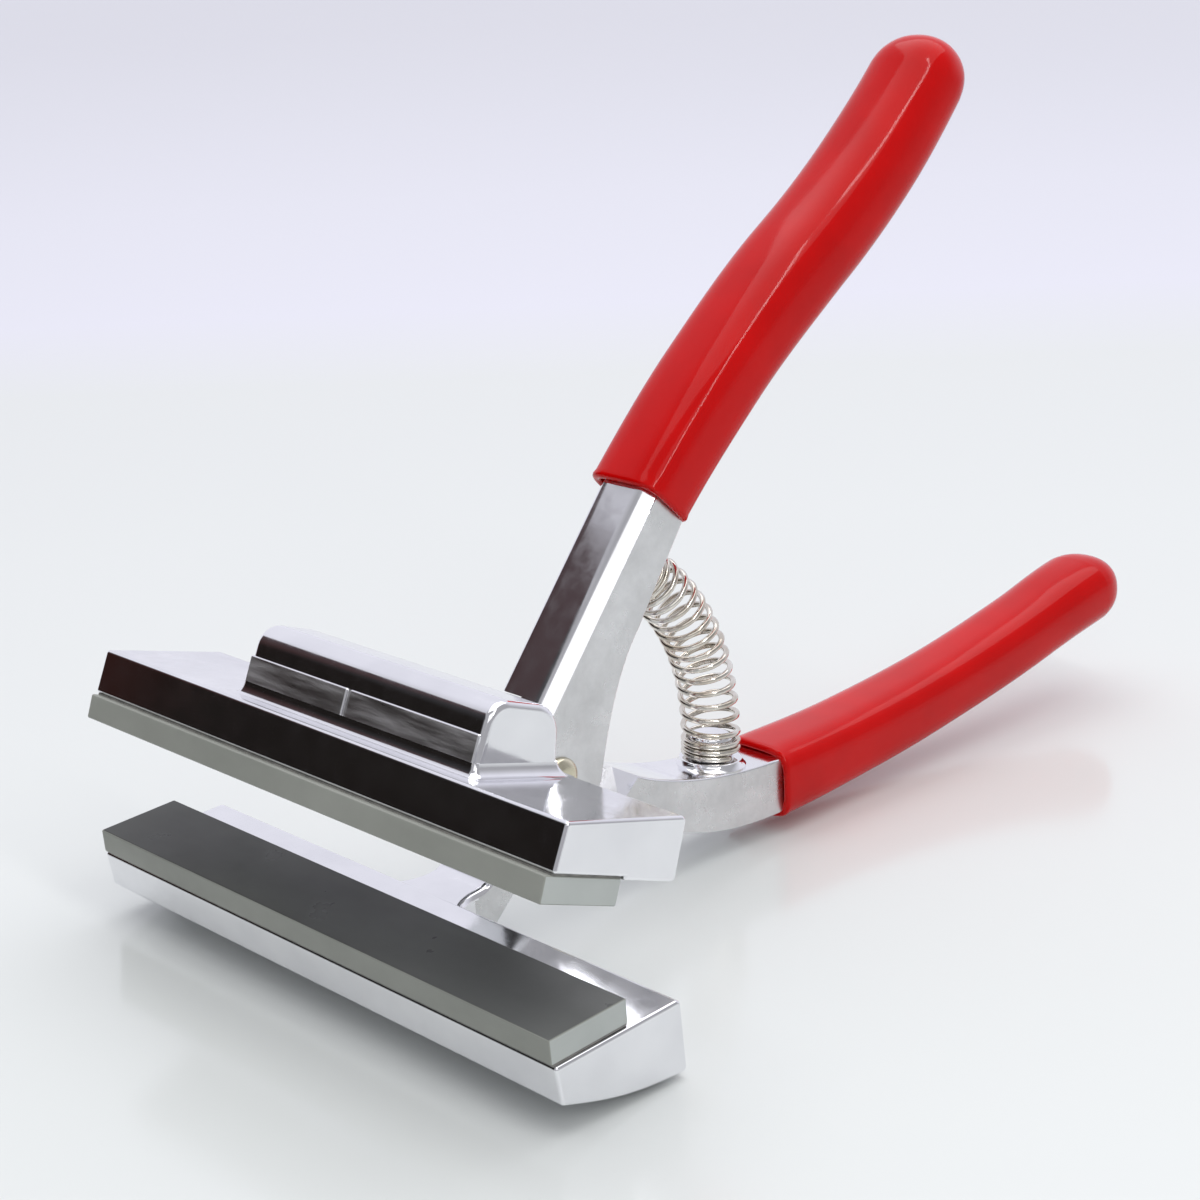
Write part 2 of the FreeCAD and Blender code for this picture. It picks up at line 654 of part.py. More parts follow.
def upper_jaw_lever():
    body = new_body("upper_jaw_lever", "upper")
    profile = side_sketch(body, "jaw_profile")
    trace(profile, ["upper_front_top", "upper_front_bottom", "upper_seat_back", "upper_lip_front",
                    "upper_back_bottom", "upper_back_top"])
    jaw = pad(body, "jaw", profile, "Sizes.jaw_width")
    doc.recompute()
    lip = size("upper_lip_front_y")
    dress(body, "Fillet", "jaw_edges", jaw,
          edges_where(jaw, lambda spot: spot.y < lip - 1 or spot.y > lip + 1), "Sizes.casting_round")
    neck = side_sketch(body, "neck_outline")
    trace(neck, ["crown_root_top", "crown_stop_front", "crown_stop_back", "crown_lobe_low",
                 "crown_bend_bottom", "crown_root_bottom"])
    pad(body, "neck", neck, "Sizes.arm_width")
    pad(body, "lobe", round_sketch(body, "lobe_outline", "Sizes.lobe_radius"), "Sizes.arm_width")
    shank = side_sketch(body, "shank_outline")
    trace(shank, ["shank_lobe_top", "shoulder", ">shank_top_mid", "lower_mouth_left",
                  "lower_mouth_right", ">shank_bottom_mid", "shank_bend", "shank_lobe_bottom"])
    pad(body, "shank", shank, "Sizes.arm_width")
    doc.recompute()
    lap_pocket(body, "lap", ["near_neck_high", "near_neck_low", "near_arm_low", "near_arm_high"], True)
    spring_seat(body, "lower")
    section = oval_sketch(body, "core_section", "lower", "Sizes.arm_half", "Sizes.arm_thickness / 2",
                          "Sizes.core_corner")
    handle_pipe(body, "AdditivePipe", "core", "lower", "core", section)
    pivot_bore(body)
    boss = side_sketch(body, "boss_outline")
    trace(boss, ["boss_front_foot", "boss_front_top", "boss_back_top", "boss_back_foot"])
    boss.setExpression("AttachmentOffset.Base.z", "Sizes.boss_left")
    block = body.newObject("PartDesign::Pad", "boss")
    block.Profile = boss
    block.setExpression("Length", "Sizes.boss_length")
    doc.recompute()
    top = size("boss_top")
    long_edges = (size("boss_front_top_y"), size("boss_back_top_y"))
    rim = edges_where(block, lambda spot: abs(spot.z - top) < 1e-3
                      and min(abs(spot.y - edge) for edge in long_edges) < 1e-3)
    dress(body, "Fillet", "boss_rim", block, rim, "Sizes.boss_round")
    return body


# ---------------------------------------------------------------- pads and films

def strip(name, side, corners, length):
    """A plain strip along the jaw: a pad or the adhesive film behind it."""
    body = new_body(name, side)
    outline = side_sketch(body, "outline")
    trace(outline, ["%s_%s" % (side, corner) for corner in corners])
    pad(body, "strip", outline, length)
    return body


def jaw_pad(side):
    corners = ("pad_face_front", "pad_face_back", "pad_glued_back", "pad_glued_front")
    return strip(side + "_jaw_pad", side, corners, "Sizes.pad_length")


def pad_film(side):
    corners = ("film_front", "film_back", "film_seat_back", "film_seat_front")
    return strip(side + "_pad_adhesive", side, corners, "Sizes.pad_length - 2 * Sizes.film_inset")


# ---------------------------------------------------------------- grips

def handle_grip(name, handle, lever):
    """A dipped sleeve, open at the mouth and closed round the end of the handle's core."""
    body = new_body(name, lever)
    outside = oval_sketch(body, "outside", handle, "Sizes.grip_width / 2", "Sizes.grip_thickness / 2",
                          "Sizes.grip_corner")
    sleeve = handle_pipe(body, "AdditivePipe", "sleeve", handle, "two", outside)
    doc.recompute()
    tip = place_of(handle + "_two_end")
    heading = math.radians(size(handle + "_angle") + size(handle + "_turn_one") + size(handle + "_turn_two"))

    def at_tip(spot):
        return abs((spot.y - tip.x) * math.cos(heading) + (spot.z - tip.y) * math.sin(heading)) < 1e-2

    dress(body, "Fillet", "tip", sleeve, edges_where(sleeve, at_tip), "Sizes.grip_tip_round")
    inside = oval_sketch(body, "inside", handle, "Sizes.arm_half + Sizes.grip_clearance",
                         "Sizes.arm_thickness / 2 + Sizes.grip_clearance",
                         "Sizes.core_corner + Sizes.grip_clearance")
    handle_pipe(body, "SubtractivePipe", "hollow", handle, "core", inside)
    return body


# ---------------------------------------------------------------- pivot fastener

def turned(name, corners):
    """A part turned about the pivot axis; it stays with the lower jaw's lever."""
    body = new_body(name, "lower")
    section = side_sketch(body, "section", "XZ_Plane")
    trace(section, corners)
    turning = body.newObject("PartDesign::Revolution", "turning")
    turning.Profile = section
    turning.ReferenceAxis = (section, ["H_Axis"])
    turning.Angle = 360
    return body


def pivot_screw():
    return turned("pivot_screw", ["screw_end_axis", "screw_end_rim", "screw_end_shank", "screw_under_head",
                                  "head_rim", "head_edge", ">head_dome", "head_crown",
                                  "head_axis"])


def pivot_washer():
    return turned("pivot_washer", ["washer_inner_near", "washer_outer_near", "washer_outer_far",
                                   "washer_inner_far"])


def pivot_nut():
    body = new_body("pivot_nut", "lower")
    outline = side_sketch(body, "hexagon")
    corner = size("nut_across_flats") / math.sqrt(3)
    spots = [FreeCAD.Vector(corner * math.cos(math.pi / 3 * turn), corner * math.sin(math.pi / 3 * turn), 0)
             for turn in range(6)]
    sides = [outline.addGeometry(Part.LineSegment(spots[turn], spots[(turn + 1) % 6])) for turn in range(6)]
    around = outline.addGeometry(Part.Circle(FreeCAD.Vector(0, 0, 0), FreeCAD.Vector(0, 0, 1), corner), True)
    outline.addConstraint(Sketcher.Constraint("Coincident", around, 3, -1, 1))
    for turn in range(6):
        outline.addConstraint(Sketcher.Constraint("Coincident", sides[turn], 2, sides[(turn + 1) % 6], 1))
        outline.addConstraint(Sketcher.Constraint("PointOnObject", sides[turn], 1, around))
    for turn in range(5):
        outline.addConstraint(Sketcher.Constraint("Equal", sides[turn], sides[turn + 1]))
    outline.addConstraint(Sketcher.Constraint("PointOnObject", sides[0], 1, -1))
    index = outline.addConstraint(Sketcher.Constraint("Radius", around, corner))
    outline.setExpression("Constraints[%d]" % index, "Sizes.nut_across_flats / sqrt(3)")
    outline.setExpression("AttachmentOffset.Base.z", "Sizes.nut_face")
    block = body.newObject("PartDesign::Pad", "hexagon_block")
    block.Profile = outline
    block.Reversed = True
    block.setExpression("Length", "Sizes.nut_height")
    pivot_bore(body)
    return body


# ---------------------------------------------------------------- return spring

def lever_spot(side, y, z):
    """A spot of a lever's frame, turned as that lever stands."""
    turn = math.radians(size(side + "_tilt"))
    return FreeCAD.Vector(0, y * math.cos(turn) - z * math.sin(turn), y * math.sin(turn) + z * math.cos(turn))


def seat_of_spring(handle, lever):
    """The collar's face under one end of the spring, and the direction its stud points."""
    angle = math.radians(size("seat_%s_angle" % handle))
    reach = size("collar_height") + size("wire_diameter") / 2 + size("coil_seat_gap")
    y = size("seat_%s_y" % handle) + reach * math.cos(angle)
    z = size("seat_%s_z" % handle) + reach * math.sin(angle)
    spot = lever_spot(lever, y, z)
    tip = lever_spot(lever, y + math.cos(angle), z + math.sin(angle))
    return spot, tip - spot


def spring_line(share):
    """The bent centre line: where it is at a share of its length, and its heading."""
    foot, up = seat_of_spring("lower", "upper")
    head, down = seat_of_spring("upper", "lower")
    lead = size("spring_lead")
    first, second = foot + up * lead, head + down * lead
    rest = 1 - share
    spot = foot * rest ** 3 + first * 3 * rest ** 2 * share + second * 3 * rest * share ** 2 + head * share ** 3
    slope = (first - foot) * rest ** 2 + (second - first) * 2 * rest * share + (head - second) * share ** 2
    return spot, slope.normalize()


def spring_spots():
    """Spots along the wire with the wire's heading at each, four to a turn."""
    length = sum((spring_line((step + 1) / 200)[0] - spring_line(step / 200)[0]).Length for step in range(200))
    end_turns, open_turns = size("end_turns"), size("open_turns")
    closed = (size("wire_diameter") + size("closed_coil_gap")) * end_turns / length
    turns = 2 * end_turns + open_turns

    def wire(turn):
        if turn < end_turns:
            share = closed * turn / end_turns
        elif turn > turns - end_turns:
            share = 1 - closed * (turns - turn) / end_turns
        else:
            share = closed + (1 - 2 * closed) * (turn - end_turns) / open_turns
        spot, heading = spring_line(share)
        side = ACROSS.cross(heading)
        angle = 2 * math.pi * turn
        return spot + (ACROSS * math.cos(angle) + side * math.sin(angle)) * size("coil_radius")

    spots = []
    for quarter in range(int(round(turns * 4)) + 1):
        turn = quarter / 4
        nudge = 0.002
        heading = wire(min(turn + nudge, turns)) - wire(max(turn - nudge, 0))
        spots.append((wire(turn), heading.normalize()))
    return spots


def joint_of_arcs(start, start_heading, end, end_heading):
    """Where two arcs meet that leave a start and reach an end along their headings."""
    span = end - start
    both = start_heading + end_heading
    bend = 2 * (start_heading.dot(end_heading) - 1)
    along = span.dot(both)
    tangent = (along - math.sqrt(along ** 2 - bend * span.dot(span))) / bend
    return (start + start_heading * tangent + end - end_heading * tangent) / 2


def bend_round(circle, start, heading, end):
    """Turns the wire's outline along the arc from a start to an end, and returns tube and outline."""
    chord = end - start
    forward = chord.dot(heading)
    inward = chord - heading * forward
    rise = inward.Length
    inward.normalize()
    radius = chord.dot(chord) / (2 * rise)
    centre = start + inward * radius
    axis = heading.cross(inward)
    angle = math.degrees(2 * math.atan2(rise, forward))
    tube = circle.revolve(centre, axis, angle)
    following = circle.copy()
    following.rotate(centre, axis, angle)
    new_heading = FreeCAD.Rotation(axis, angle).multVec(heading)
    return tube, following, new_heading


def return_spring():
    """One round wire wound along the bent line, made of short arcs that run on smoothly."""
    spots = spring_spots()
    radius = size("wire_diameter") / 2
    circle = Part.makeCircle(radius, spots[0][0], spots[0][1])
    tubes = [Part.Face(Part.Wire(circle))]
    heading = spots[0][1]
    for (start, unused), (end, end_heading) in zip(spots, spots[1:]):
        middle = joint_of_arcs(start, heading, end, end_heading)
        for begin, finish in ((start, middle), (middle, end)):
            tube, circle, heading = bend_round(circle, begin, heading, finish)
            tubes.append(tube)
    tubes.append(Part.Face(Part.Wire(circle)))
    shell = Part.makeShell(tubes)
    shell.sewShape()
    spring = doc.addObject("Part::Feature", "return_spring")
    spring.Label = "return_spring"
    solid = Part.makeSolid(shell)
    if solid.Volume < 0:
        solid.reverse()
    spring.Shape = solid
    lift(spring)
    return spring


pieces = [
    lower_jaw_lever(),
    upper_jaw_lever(),
    jaw_pad("lower"),
    jaw_pad("upper"),
    pad_film("lower"),
    pad_film("upper"),
    handle_grip("upper_handle_grip", "upper", "lower"),
    handle_grip("lower_handle_grip", "lower", "upper"),
    pivot_screw(),
    pivot_washer(),
    pivot_nut(),
    return_spring(),
]


# ---------------------------------------------------------------- stance

def settle():
    """Puts the origin on the ground, under the middle of the whole tool."""
    doc.recompute()
    boxes = [piece.Shape.BoundBox for piece in pieces]
    middle = (min(box.YMin for box in boxes) + max(box.YMax for box in boxes)) / 2
    sheet.set(sheet.getCellFromAlias("pivot_y"), str(round(-middle, 4)))
    sheet.set(sheet.getCellFromAlias("pivot_height"), str(round(-min(box.ZMin for box in boxes), 4)))
    doc.recompute()


settle()


# ---------------------------------------------------------------- checks and files

def check_and_write():
    doc.recompute()
    for thing in doc.Objects:
        if {"Invalid", "Error"} & set(thing.State):
            raise RuntimeError("%s failed: %s" % (thing.Name, thing.State))
    for piece in pieces:
        if piece.Shape.isNull() or not piece.Shape.isValid():
            raise RuntimeError("%s has no valid shape" % piece.Label)
    os.makedirs("parts", exist_ok=True)
    for piece in pieces:
        piece.Shape.exportStep("parts/%s.step" % piece.Label)
        box = piece.Shape.BoundBox
        print("%-20s %2d solid  %9.1f mm3  %s" % (piece.Label, len(piece.Shape.Solids), piece.Shape.Volume, box))
    print("pivot axis at y %.4f, z %.4f" % (size("pivot_y"), size("pivot_height")))


check_and_write()
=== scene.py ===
import json
import math

import bmesh
import bpy
from mathutils import Matrix, Vector


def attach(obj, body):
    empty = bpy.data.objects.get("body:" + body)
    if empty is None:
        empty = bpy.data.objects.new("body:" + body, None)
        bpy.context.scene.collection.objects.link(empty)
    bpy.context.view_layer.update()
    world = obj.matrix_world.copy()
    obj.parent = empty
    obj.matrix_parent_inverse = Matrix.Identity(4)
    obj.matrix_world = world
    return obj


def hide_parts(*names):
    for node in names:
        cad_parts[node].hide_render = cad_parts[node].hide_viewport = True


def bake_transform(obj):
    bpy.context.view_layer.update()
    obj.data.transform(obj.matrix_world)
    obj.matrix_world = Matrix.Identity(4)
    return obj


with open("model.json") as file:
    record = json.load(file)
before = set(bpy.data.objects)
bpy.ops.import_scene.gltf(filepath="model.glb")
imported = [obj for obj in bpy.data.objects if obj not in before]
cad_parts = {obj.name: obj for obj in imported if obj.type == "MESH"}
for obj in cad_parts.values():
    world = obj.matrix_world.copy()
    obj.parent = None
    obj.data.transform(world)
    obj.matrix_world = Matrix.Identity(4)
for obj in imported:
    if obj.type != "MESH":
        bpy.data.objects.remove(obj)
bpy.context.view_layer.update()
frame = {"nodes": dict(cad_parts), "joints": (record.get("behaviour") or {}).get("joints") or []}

# Canvas stretching pliers over a pale glossy table.
#
# Every sub-part is drawn in millimetres in its lever's own frame: origin on the pivot axis,
# X along the jaws, Y towards the handles, Z up, with the gripping faces level. The finished
# mesh is then turned about the pivot by its lever's tilt and carried to where the pivot stands.

MM = 0.001
PIVOT = Vector(frame["joints"][0]["pos_m"])
TILT = {"lower": 3.5, "upper": -20.1}      # degrees each lever stands from level
BODY = {"lower": "lower_jaw_side", "upper": "upper_jaw_side"}

# ---------------------------------------------------------------- sizes, in millimetres

JAW_HALF = 60
JAW_REACH = 52
PAD_DROP = 8.5
PAD_HALF = 59.5
PAD_DEPTH = 15.7
PAD_THICK = 4.3
FILM = 0.3
EDGE = 0.6                # round on the jaws' plain edges
ARM_HALF = 6.8
LOBE = 10.5
LAP_GAP = 0.15            # from the middle plane to each half of the lap
LAP_REACH = 11.5          # from the pivot to the lap's shoulders
LAP_SPREAD = 17           # a lap cut's reach to each side, past the lobe's edge
ARM_HEADING = 50          # degrees, of the upper handle's arm where it leaves the lap
NECK_HEADING = 225        # degrees, of the lower jaw's neck where it leaves the lap
SHOULDER_HEADING = 61     # degrees, of the shank's shoulder beside the lap
CHAMFER_BULGE = 0.14      # how far the arm's chamfer swells: share of its width
FLARE_START = -28.5       # where both necks' flares start at the jaw's back
FLARE_LENGTH = 8
HANDLES = {               # start, angle, then radius and turn of two arcs
    "upper": ((30.2, 40.6), 43.5, (250, -13.5), (165, 17.6)),
    "lower": ((59, 1.6), 20.5, (420, 12.5), (200, -5.9)),
}
ARM_THICK = 10.7
CORE_INSIDE = 3           # how far each drawn lever runs on inside its grip
COLLAR_RISE = 1.2         # of the spring seats' collars
WIRE_STANDOFF = 1.15 * 0.55   # from a collar to the spring's first turn
PAD_EDGE = 0.35
SEATS = {"upper": ((26.4, 29.2), -38.5), "lower": ((45.3, 3.9), 106)}
LOWER_SEAT = -PAD_DROP - PAD_THICK - FILM
UPPER_SEAT = -PAD_DROP + PAD_THICK + FILM


# ---------------------------------------------------------------- outlines and lofts

def ray(start, reach, angle, side=0):
    """A point at a reach along a direction, and a distance to its left."""
    turn = math.radians(angle)
    return (start[0] + reach * math.cos(turn) - side * math.sin(turn),
            start[1] + reach * math.sin(turn) + side * math.cos(turn))


def arc_run(start, angle, radius, turn, steps):
    """Points and headings along an arc that leaves a start point and turns left."""
    run = []
    for step in range(1, steps + 1):
        swept = turn * step / steps
        chord = 2 * radius * abs(math.sin(math.radians(swept / 2)))
        run.append((ray(start, chord, angle + swept / 2), angle + swept))
    return run


def rounded(corners, radii, steps=5):
    """A closed outline with each corner rounded; a radius of 0 leaves the point as it is."""
    outline = []
    for index, (corner, radius) in enumerate(zip(corners, radii)):
        here = Vector(corner)
        before = (Vector(corners[index - 1]) - here).normalized()
        after = (Vector(corners[(index + 1) % len(corners)]) - here).normalized()
        if radius <= 0:
            outline.append(here)
            continue
        half = before.angle(after) / 2
        centre = here + (before + after).normalized() * radius / math.sin(half)
        first = here + before * radius / math.tan(half) - centre
        last = here + after * radius / math.tan(half) - centre
        for step in range(steps + 1):
            outline.append(centre + first.slerp(last, step / steps) * first.length)
    return outline


def inset(outline, distance):
    """The outline, which may run either way round, with every vertex moved inwards by a distance."""
    area = sum(a[0] * b[1] - a[1] * b[0] for a, b in zip(outline, outline[1:] + outline[:1]))
    inward = 1 if area > 0 else -1
    moved = []
    for index, here in enumerate(outline):
        before = (here - outline[index - 1]).normalized()
        after = (outline[(index + 1) % len(outline)] - here).normalized()
        normal = Vector((-before.y - after.y, before.x + after.x)).normalized() * inward
        lean = max(0.5, math.sqrt(max(0, (1 + before.dot(after)) / 2)))
        moved.append(here + normal * distance / lean)
    return moved


def loft(mesh, rings):
    """Skins equal rings of points; the first and last ring become flat ends."""
    loops = [[mesh.verts.new(spot) for spot in ring] for ring in rings]
    count = len(loops[0])
    for lower, upper in zip(loops, loops[1:]):
        for index in range(count):
            following = (index + 1) % count
            mesh.faces.new((lower[index], lower[following], upper[following], upper[index]))
    mesh.faces.new(list(reversed(loops[0])))
    mesh.faces.new(loops[-1])


def curve_through(first, middle, last, steps):
    """Points after the first along a parabola through three points, ending on the last."""
    points = []
    for step in range(1, steps + 1):
        t = step / steps
        points.append(first * (1 - t) * (1 - 2 * t) + middle * 4 * t * (1 - t) + last * t * (2 * t - 1))
    return points


def pivot_arc(radius, first, last, steps):
    """Points round the pivot from one heading to another, in degrees."""
    return [Vector(ray((0, 0), radius, first + k * (last - first) / steps)) for k in range(steps + 1)]


def circle(x, radius, count):
    """A ring of points round the pivot axis."""
    return [(x, radius * math.cos(2 * math.pi * k / count), radius * math.sin(2 * math.pi * k / count))
            for k in range(count)]


def bar(mesh, corners, radii, left, right, edge, steps=5):
    """A side-view outline run along X, with rounded long edges and rounded rims at both ends."""
    rings = []
    for step in range(steps + 1):
        turn = math.pi / 2 * step / steps
        rings.append((left + edge * (1 - math.cos(turn)), edge * (1 - math.sin(turn))))
    rings += [(left + right - x, distance) for x, distance in reversed(rings)]
    skin = []
    for x, distance in rings:
        sharper = [max(radius - distance, 0.04) if radius > 0 else 0 for radius in radii]
        plain = inset([Vector(corner) for corner in corners], distance)
        outline = rounded([tuple(spot) for spot in plain], sharper, steps)
        skin.append([(x, spot.x, spot.y) for spot in outline])
    loft(mesh, skin)


def finish_mesh(name, mesh, side, body, materials, sharp=38):
    """Makes an object of a drawn mesh, stands it in place and gives it to its body."""
    bmesh.ops.recalc_face_normals(mesh, faces=mesh.faces)
    for edge in mesh.edges:
        if len(edge.link_faces) == 2:
            edge.smooth = edge.calc_face_angle(0) < math.radians(sharp)
    for face in mesh.faces:
        face.smooth = True
    data = bpy.data.meshes.new(name)
    mesh.to_mesh(data)
    mesh.free()
    piece = bpy.data.objects.new(name, data)
    bpy.context.scene.collection.objects.link(piece)
    data.transform(Matrix.Translation(PIVOT) @ Matrix.Rotation(math.radians(TILT[side]), 4, "X")
                   @ Matrix.Scale(MM, 4))
    for material in materials:
        data.materials.append(material)
    weighted = piece.modifiers.new("face_weighted_normals", "WEIGHTED_NORMAL")
    weighted.keep_sharp = True
    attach(piece, body)
    return piece


# ---------------------------------------------------------------- castings

def cut(solid, tool_outline, low, high):
    """Cuts a prism out of a mesh: a side-view outline between two planes across X."""
    tool = bmesh.new()
    loft(tool, [[(x, spot[0], spot[1]) for spot in tool_outline] for x in (low, high)])
    bmesh.ops.recalc_face_normals(tool, faces=tool.faces)
    bmesh.ops.recalc_face_normals(solid, faces=solid.faces)
    things = []
    for name, mesh in (("solid", solid), ("tool", tool)):
        data = bpy.data.meshes.new(name)
        mesh.to_mesh(data)
        mesh.free()
        thing = bpy.data.objects.new(name, data)
        bpy.context.scene.collection.objects.link(thing)
        things.append(thing)
    boolean = things[0].modifiers.new("cut", "BOOLEAN")
    boolean.operation = "DIFFERENCE"
    boolean.solver = "EXACT"
    boolean.object = things[1]
    bpy.context.view_layer.update()
    graph = bpy.context.evaluated_depsgraph_get()
    result = bmesh.new()
    result.from_mesh(things[0].evaluated_get(graph).to_mesh())
    for thing in things:
        bpy.data.objects.remove(thing)
    return result


def join(mesh, other):
    """Adds one drawn mesh to another."""
    data = bpy.data.meshes.new("part")
    other.to_mesh(data)
    other.free()
    mesh.from_mesh(data)
    bpy.data.meshes.remove(data)


def plate(outline, shares, chamfer, edge=0.5, steps=4):
    """A lever's side view run across its thickness; vertices with a share follow the chamfer."""
    mesh = bmesh.new()
    depths = {edge * (1 - math.cos(math.pi / 2 * step / steps)) for step in range(steps + 1)}
    depths |= {chamfer * step / 10 for step in range(1, 11)} | {chamfer + 1.2}
    half = []
    for depth in sorted(depths):
        rim = edge - math.sqrt(max(0, edge ** 2 - max(0, edge - depth) ** 2)) if depth < edge else 0
        left = max(0, 1 - depth / chamfer) if chamfer else 0
        slope = chamfer * (left - CHAMFER_BULGE * math.sin(math.pi * left)) if left > 0 else 0
        half.append((depth, rim, slope))
    sections = [(ARM_HALF - depth, rim, slope) for depth, rim, slope in half]
    sections += [(-x, rim, slope) for x, rim, slope in reversed(sections)]
    skin = []
    for x, rim, slope in sections:
        base = inset(outline, 1.0)
        ring = []
        for spot, moved, share in zip(outline, base, shares):
            depth = max(rim, slope * share)
            ring.append((x, spot.x + (moved.x - spot.x) * depth, spot.y + (moved.y - spot.y) * depth))
        skin.append(ring)
    loft(mesh, skin)
    return mesh


def neck(mesh, stations, flare, top_round=1.3, steps=6):
    """A neck between jaw and pivot: each station is how far back, its bottom, its top and its spread."""
    skin = []
    for y, bottom, top, spread in stations:
        half = ARM_HALF - 0.03 + flare * spread
        corners = [(-half, bottom), (half, bottom), (half, top), (-half, top)]
        outline = rounded(corners, [top_round] * 4, steps)
        skin.append([(spot.x, y, spot.y) for spot in outline])
    loft(mesh, skin)


def spread_of(share):
    """How far a cove of unit radius stands out at a share of its length from the wall."""
    return 1 - math.sqrt(max(0, 1 - (1 - share) ** 2))


def flare_stations(bottom, bottom_rise, top, top_rise, steps=8):
    """The stations where a neck spreads into its jaw's back, with a cove for the spread."""
    stations = []
    for step in range(steps + 1):
        share = step / steps
        stations.append((FLARE_START + FLARE_LENGTH * share, bottom + bottom_rise * share,
                         top + top_rise * share, spread_of(share)))
    return stations


def handle_mouth(handle):
    """The left and right edge of a lever where its drawn part ends, inside the grip."""
    start, angle = HANDLES[handle][:2]
    return [Vector(ray(start, CORE_INSIDE, angle, side * ARM_THICK / 2)) for side in (1, -1)]


def turned(mesh, start, angle, profile, segments=40):
    """A round boss in the lever's side view: profile is reach along the axis and radius."""
    turn = math.radians(angle)
    along = Vector((0, math.cos(turn), math.sin(turn)))
    across = Vector((1, 0, 0))
    up = along.cross(across)
    base = Vector((0, start[0], start[1]))
    rings = []
    for reach, radius in profile:
        ring = []
        for k in range(segments):
            swept = 2 * math.pi * k / segments
            ring.append(base + along * reach + (across * math.cos(swept) + up * math.sin(swept)) * radius)
        rings.append(ring)
    loft(mesh, rings)


def spring_seat(mesh, side):
    """The cast collar with its cove, and the stud that centres the spring."""
    start, angle = SEATS[side]
    collar, stud = 6.7, 4.3
    cove = [(COLLAR_RISE * k / 6 - 0.15, collar - 0.8 * math.sin(math.pi / 2 * k / 6)) for k in range(7)]
    rim = [(1.15, 5.75), (COLLAR_RISE, 5.5), (COLLAR_RISE, stud)]
    nose = [(4.7, stud), (5.4, 4.0), (5.7, 3.3)]
    turned(mesh, start, angle, [(-2, collar)] + cove + rim + nose)


def lower_casting(materials):
    """The lower jaw with its neck, its half of the lap and the upper handle's arm."""
    heel_y = -JAW_REACH + 26.5
    heel_z = LOWER_SEAT - 12.78
    toe = (-JAW_REACH + 1, LOWER_SEAT - 6.7)
    belly = 1.2
    under = [(toe[0] + (heel_y - toe[0]) * k / 12,
              toe[1] + (heel_z - toe[1]) * k / 12 - belly * math.sin(math.pi * k / 12))
             for k in range(11, 0, -1)]
    corners = [(-JAW_REACH + 0.3, LOWER_SEAT), (-JAW_REACH + 26.3, LOWER_SEAT - 0.2),
               (heel_y, heel_z)] + under + [toe]
    mesh = bmesh.new()
    bar(mesh, corners, [0.6, 1.0, 0.9] + [0] * len(under) + [0.8], -JAW_HALF, JAW_HALF, EDGE)

    neck_top = LOWER_SEAT - 0.3
    stations = flare_stations(heel_z + 1.2, 2.64, neck_top - 0.3, 0)
    stations += [(-19, -22.9, neck_top - 0.2, 0), (-17.5, -22.0, neck_top + 0.4, 0),
                 (-9, -14.5, -5.8, 0), (-5, -10, -3.5, 0)]
    neck(mesh, stations, 7)

    # round the lobe, along the arm's back to the grip, and down its chamfered front
    start = HANDLES["upper"][0]
    mouth_left, mouth_right = handle_mouth("upper")
    outline = pivot_arc(LOBE, 152, 343, 24)
    back_middle, back_end = Vector((15.3, 11)), Vector(ray(start, -20.8, 50.8, -6.1))
    outline += curve_through(outline[-1], back_middle, back_end, 12) + [mouth_right]
    shares = [0] * len(outline)
    front_foot = Vector(ray((0, 0), 0, ARM_HEADING, LOBE - 0.4))
    outline += [mouth_left] + [mouth_left.lerp(front_foot, k / 8 * 0.93) for k in range(1, 9)]
    shares += [1] * (len(outline) - len(shares))
    arm = plate(outline, shares, 2.4)
    lap = [ray((0, 0), 5.5, ARM_HEADING, LAP_SPREAD), ray((0, 0), LAP_REACH, ARM_HEADING, 7),
           ray((0, 0), LAP_REACH, ARM_HEADING, -LAP_SPREAD),
           ray((0, 0), LAP_REACH, NECK_HEADING, LAP_SPREAD), ray((0, 0), LAP_REACH, NECK_HEADING, -14)]
    arm = cut(arm, lap, -ARM_HALF - 1, LAP_GAP)
    join(mesh, arm)
    spring_seat(mesh, "upper")
    return finish_mesh("lower_jaw_casting", mesh, "lower", BODY["lower"], materials)


def hammer_boss(mesh, front, slope):
    """The boss on the upper jaw, its parting line with a nick, and the cove round its foot."""
    left, right = -25, 34.5
    foot_front, foot_back = front + 5.2, front + 22.4
    foot_z = UPPER_SEAT + 6.5
    boss = [(foot_front - 0.9, foot_z), (foot_front - 0.5, 10.6), (foot_front - 0.1, 16.3),
            (foot_back - 3, 16.3), (foot_back, foot_z)]
    bar(mesh, boss, [0, 0.5, 4.0, 5.4, 0], left, right, 1.2, steps=8)

    nick, nick_half = left + 0.45 * (right - left), 0.35
    skirt = [(foot_front - 1.35, foot_z), (foot_front - 0.9, 10.7),
             (foot_front + 2, 10.7), (foot_front + 2, foot_z)]
    for start, end in ((left + 0.2, nick - nick_half), (nick + nick_half, right - 0.7)):
        bar(mesh, skirt, [0, 0.35, 0, 0], start, end, 0.4, steps=4)

    cove = 2.2
    cove_front = foot_front - 1.2
    rings = []
    for step in range(8):
        turn = math.pi / 2 * step / 7
        out = cove * (1 - math.sin(turn)) + 0.02
        rise = cove * (1 - math.cos(turn)) - 0.03
        spots = rounded([(left - out, cove_front - 0.4 * out), (right + out, cove_front - 0.4 * out),
                         (right + out, foot_back + out - 0.4 * rise),
                         (left - out, foot_back + out - 0.4 * rise)], [0.9 + 0.6 * out] * 4, 6)
        rings.append([(spot.x, spot.y, UPPER_SEAT + 7.7 + (spot.y - front) * math.tan(slope) + rise)
                      for spot in spots])
    loft(mesh, rings)


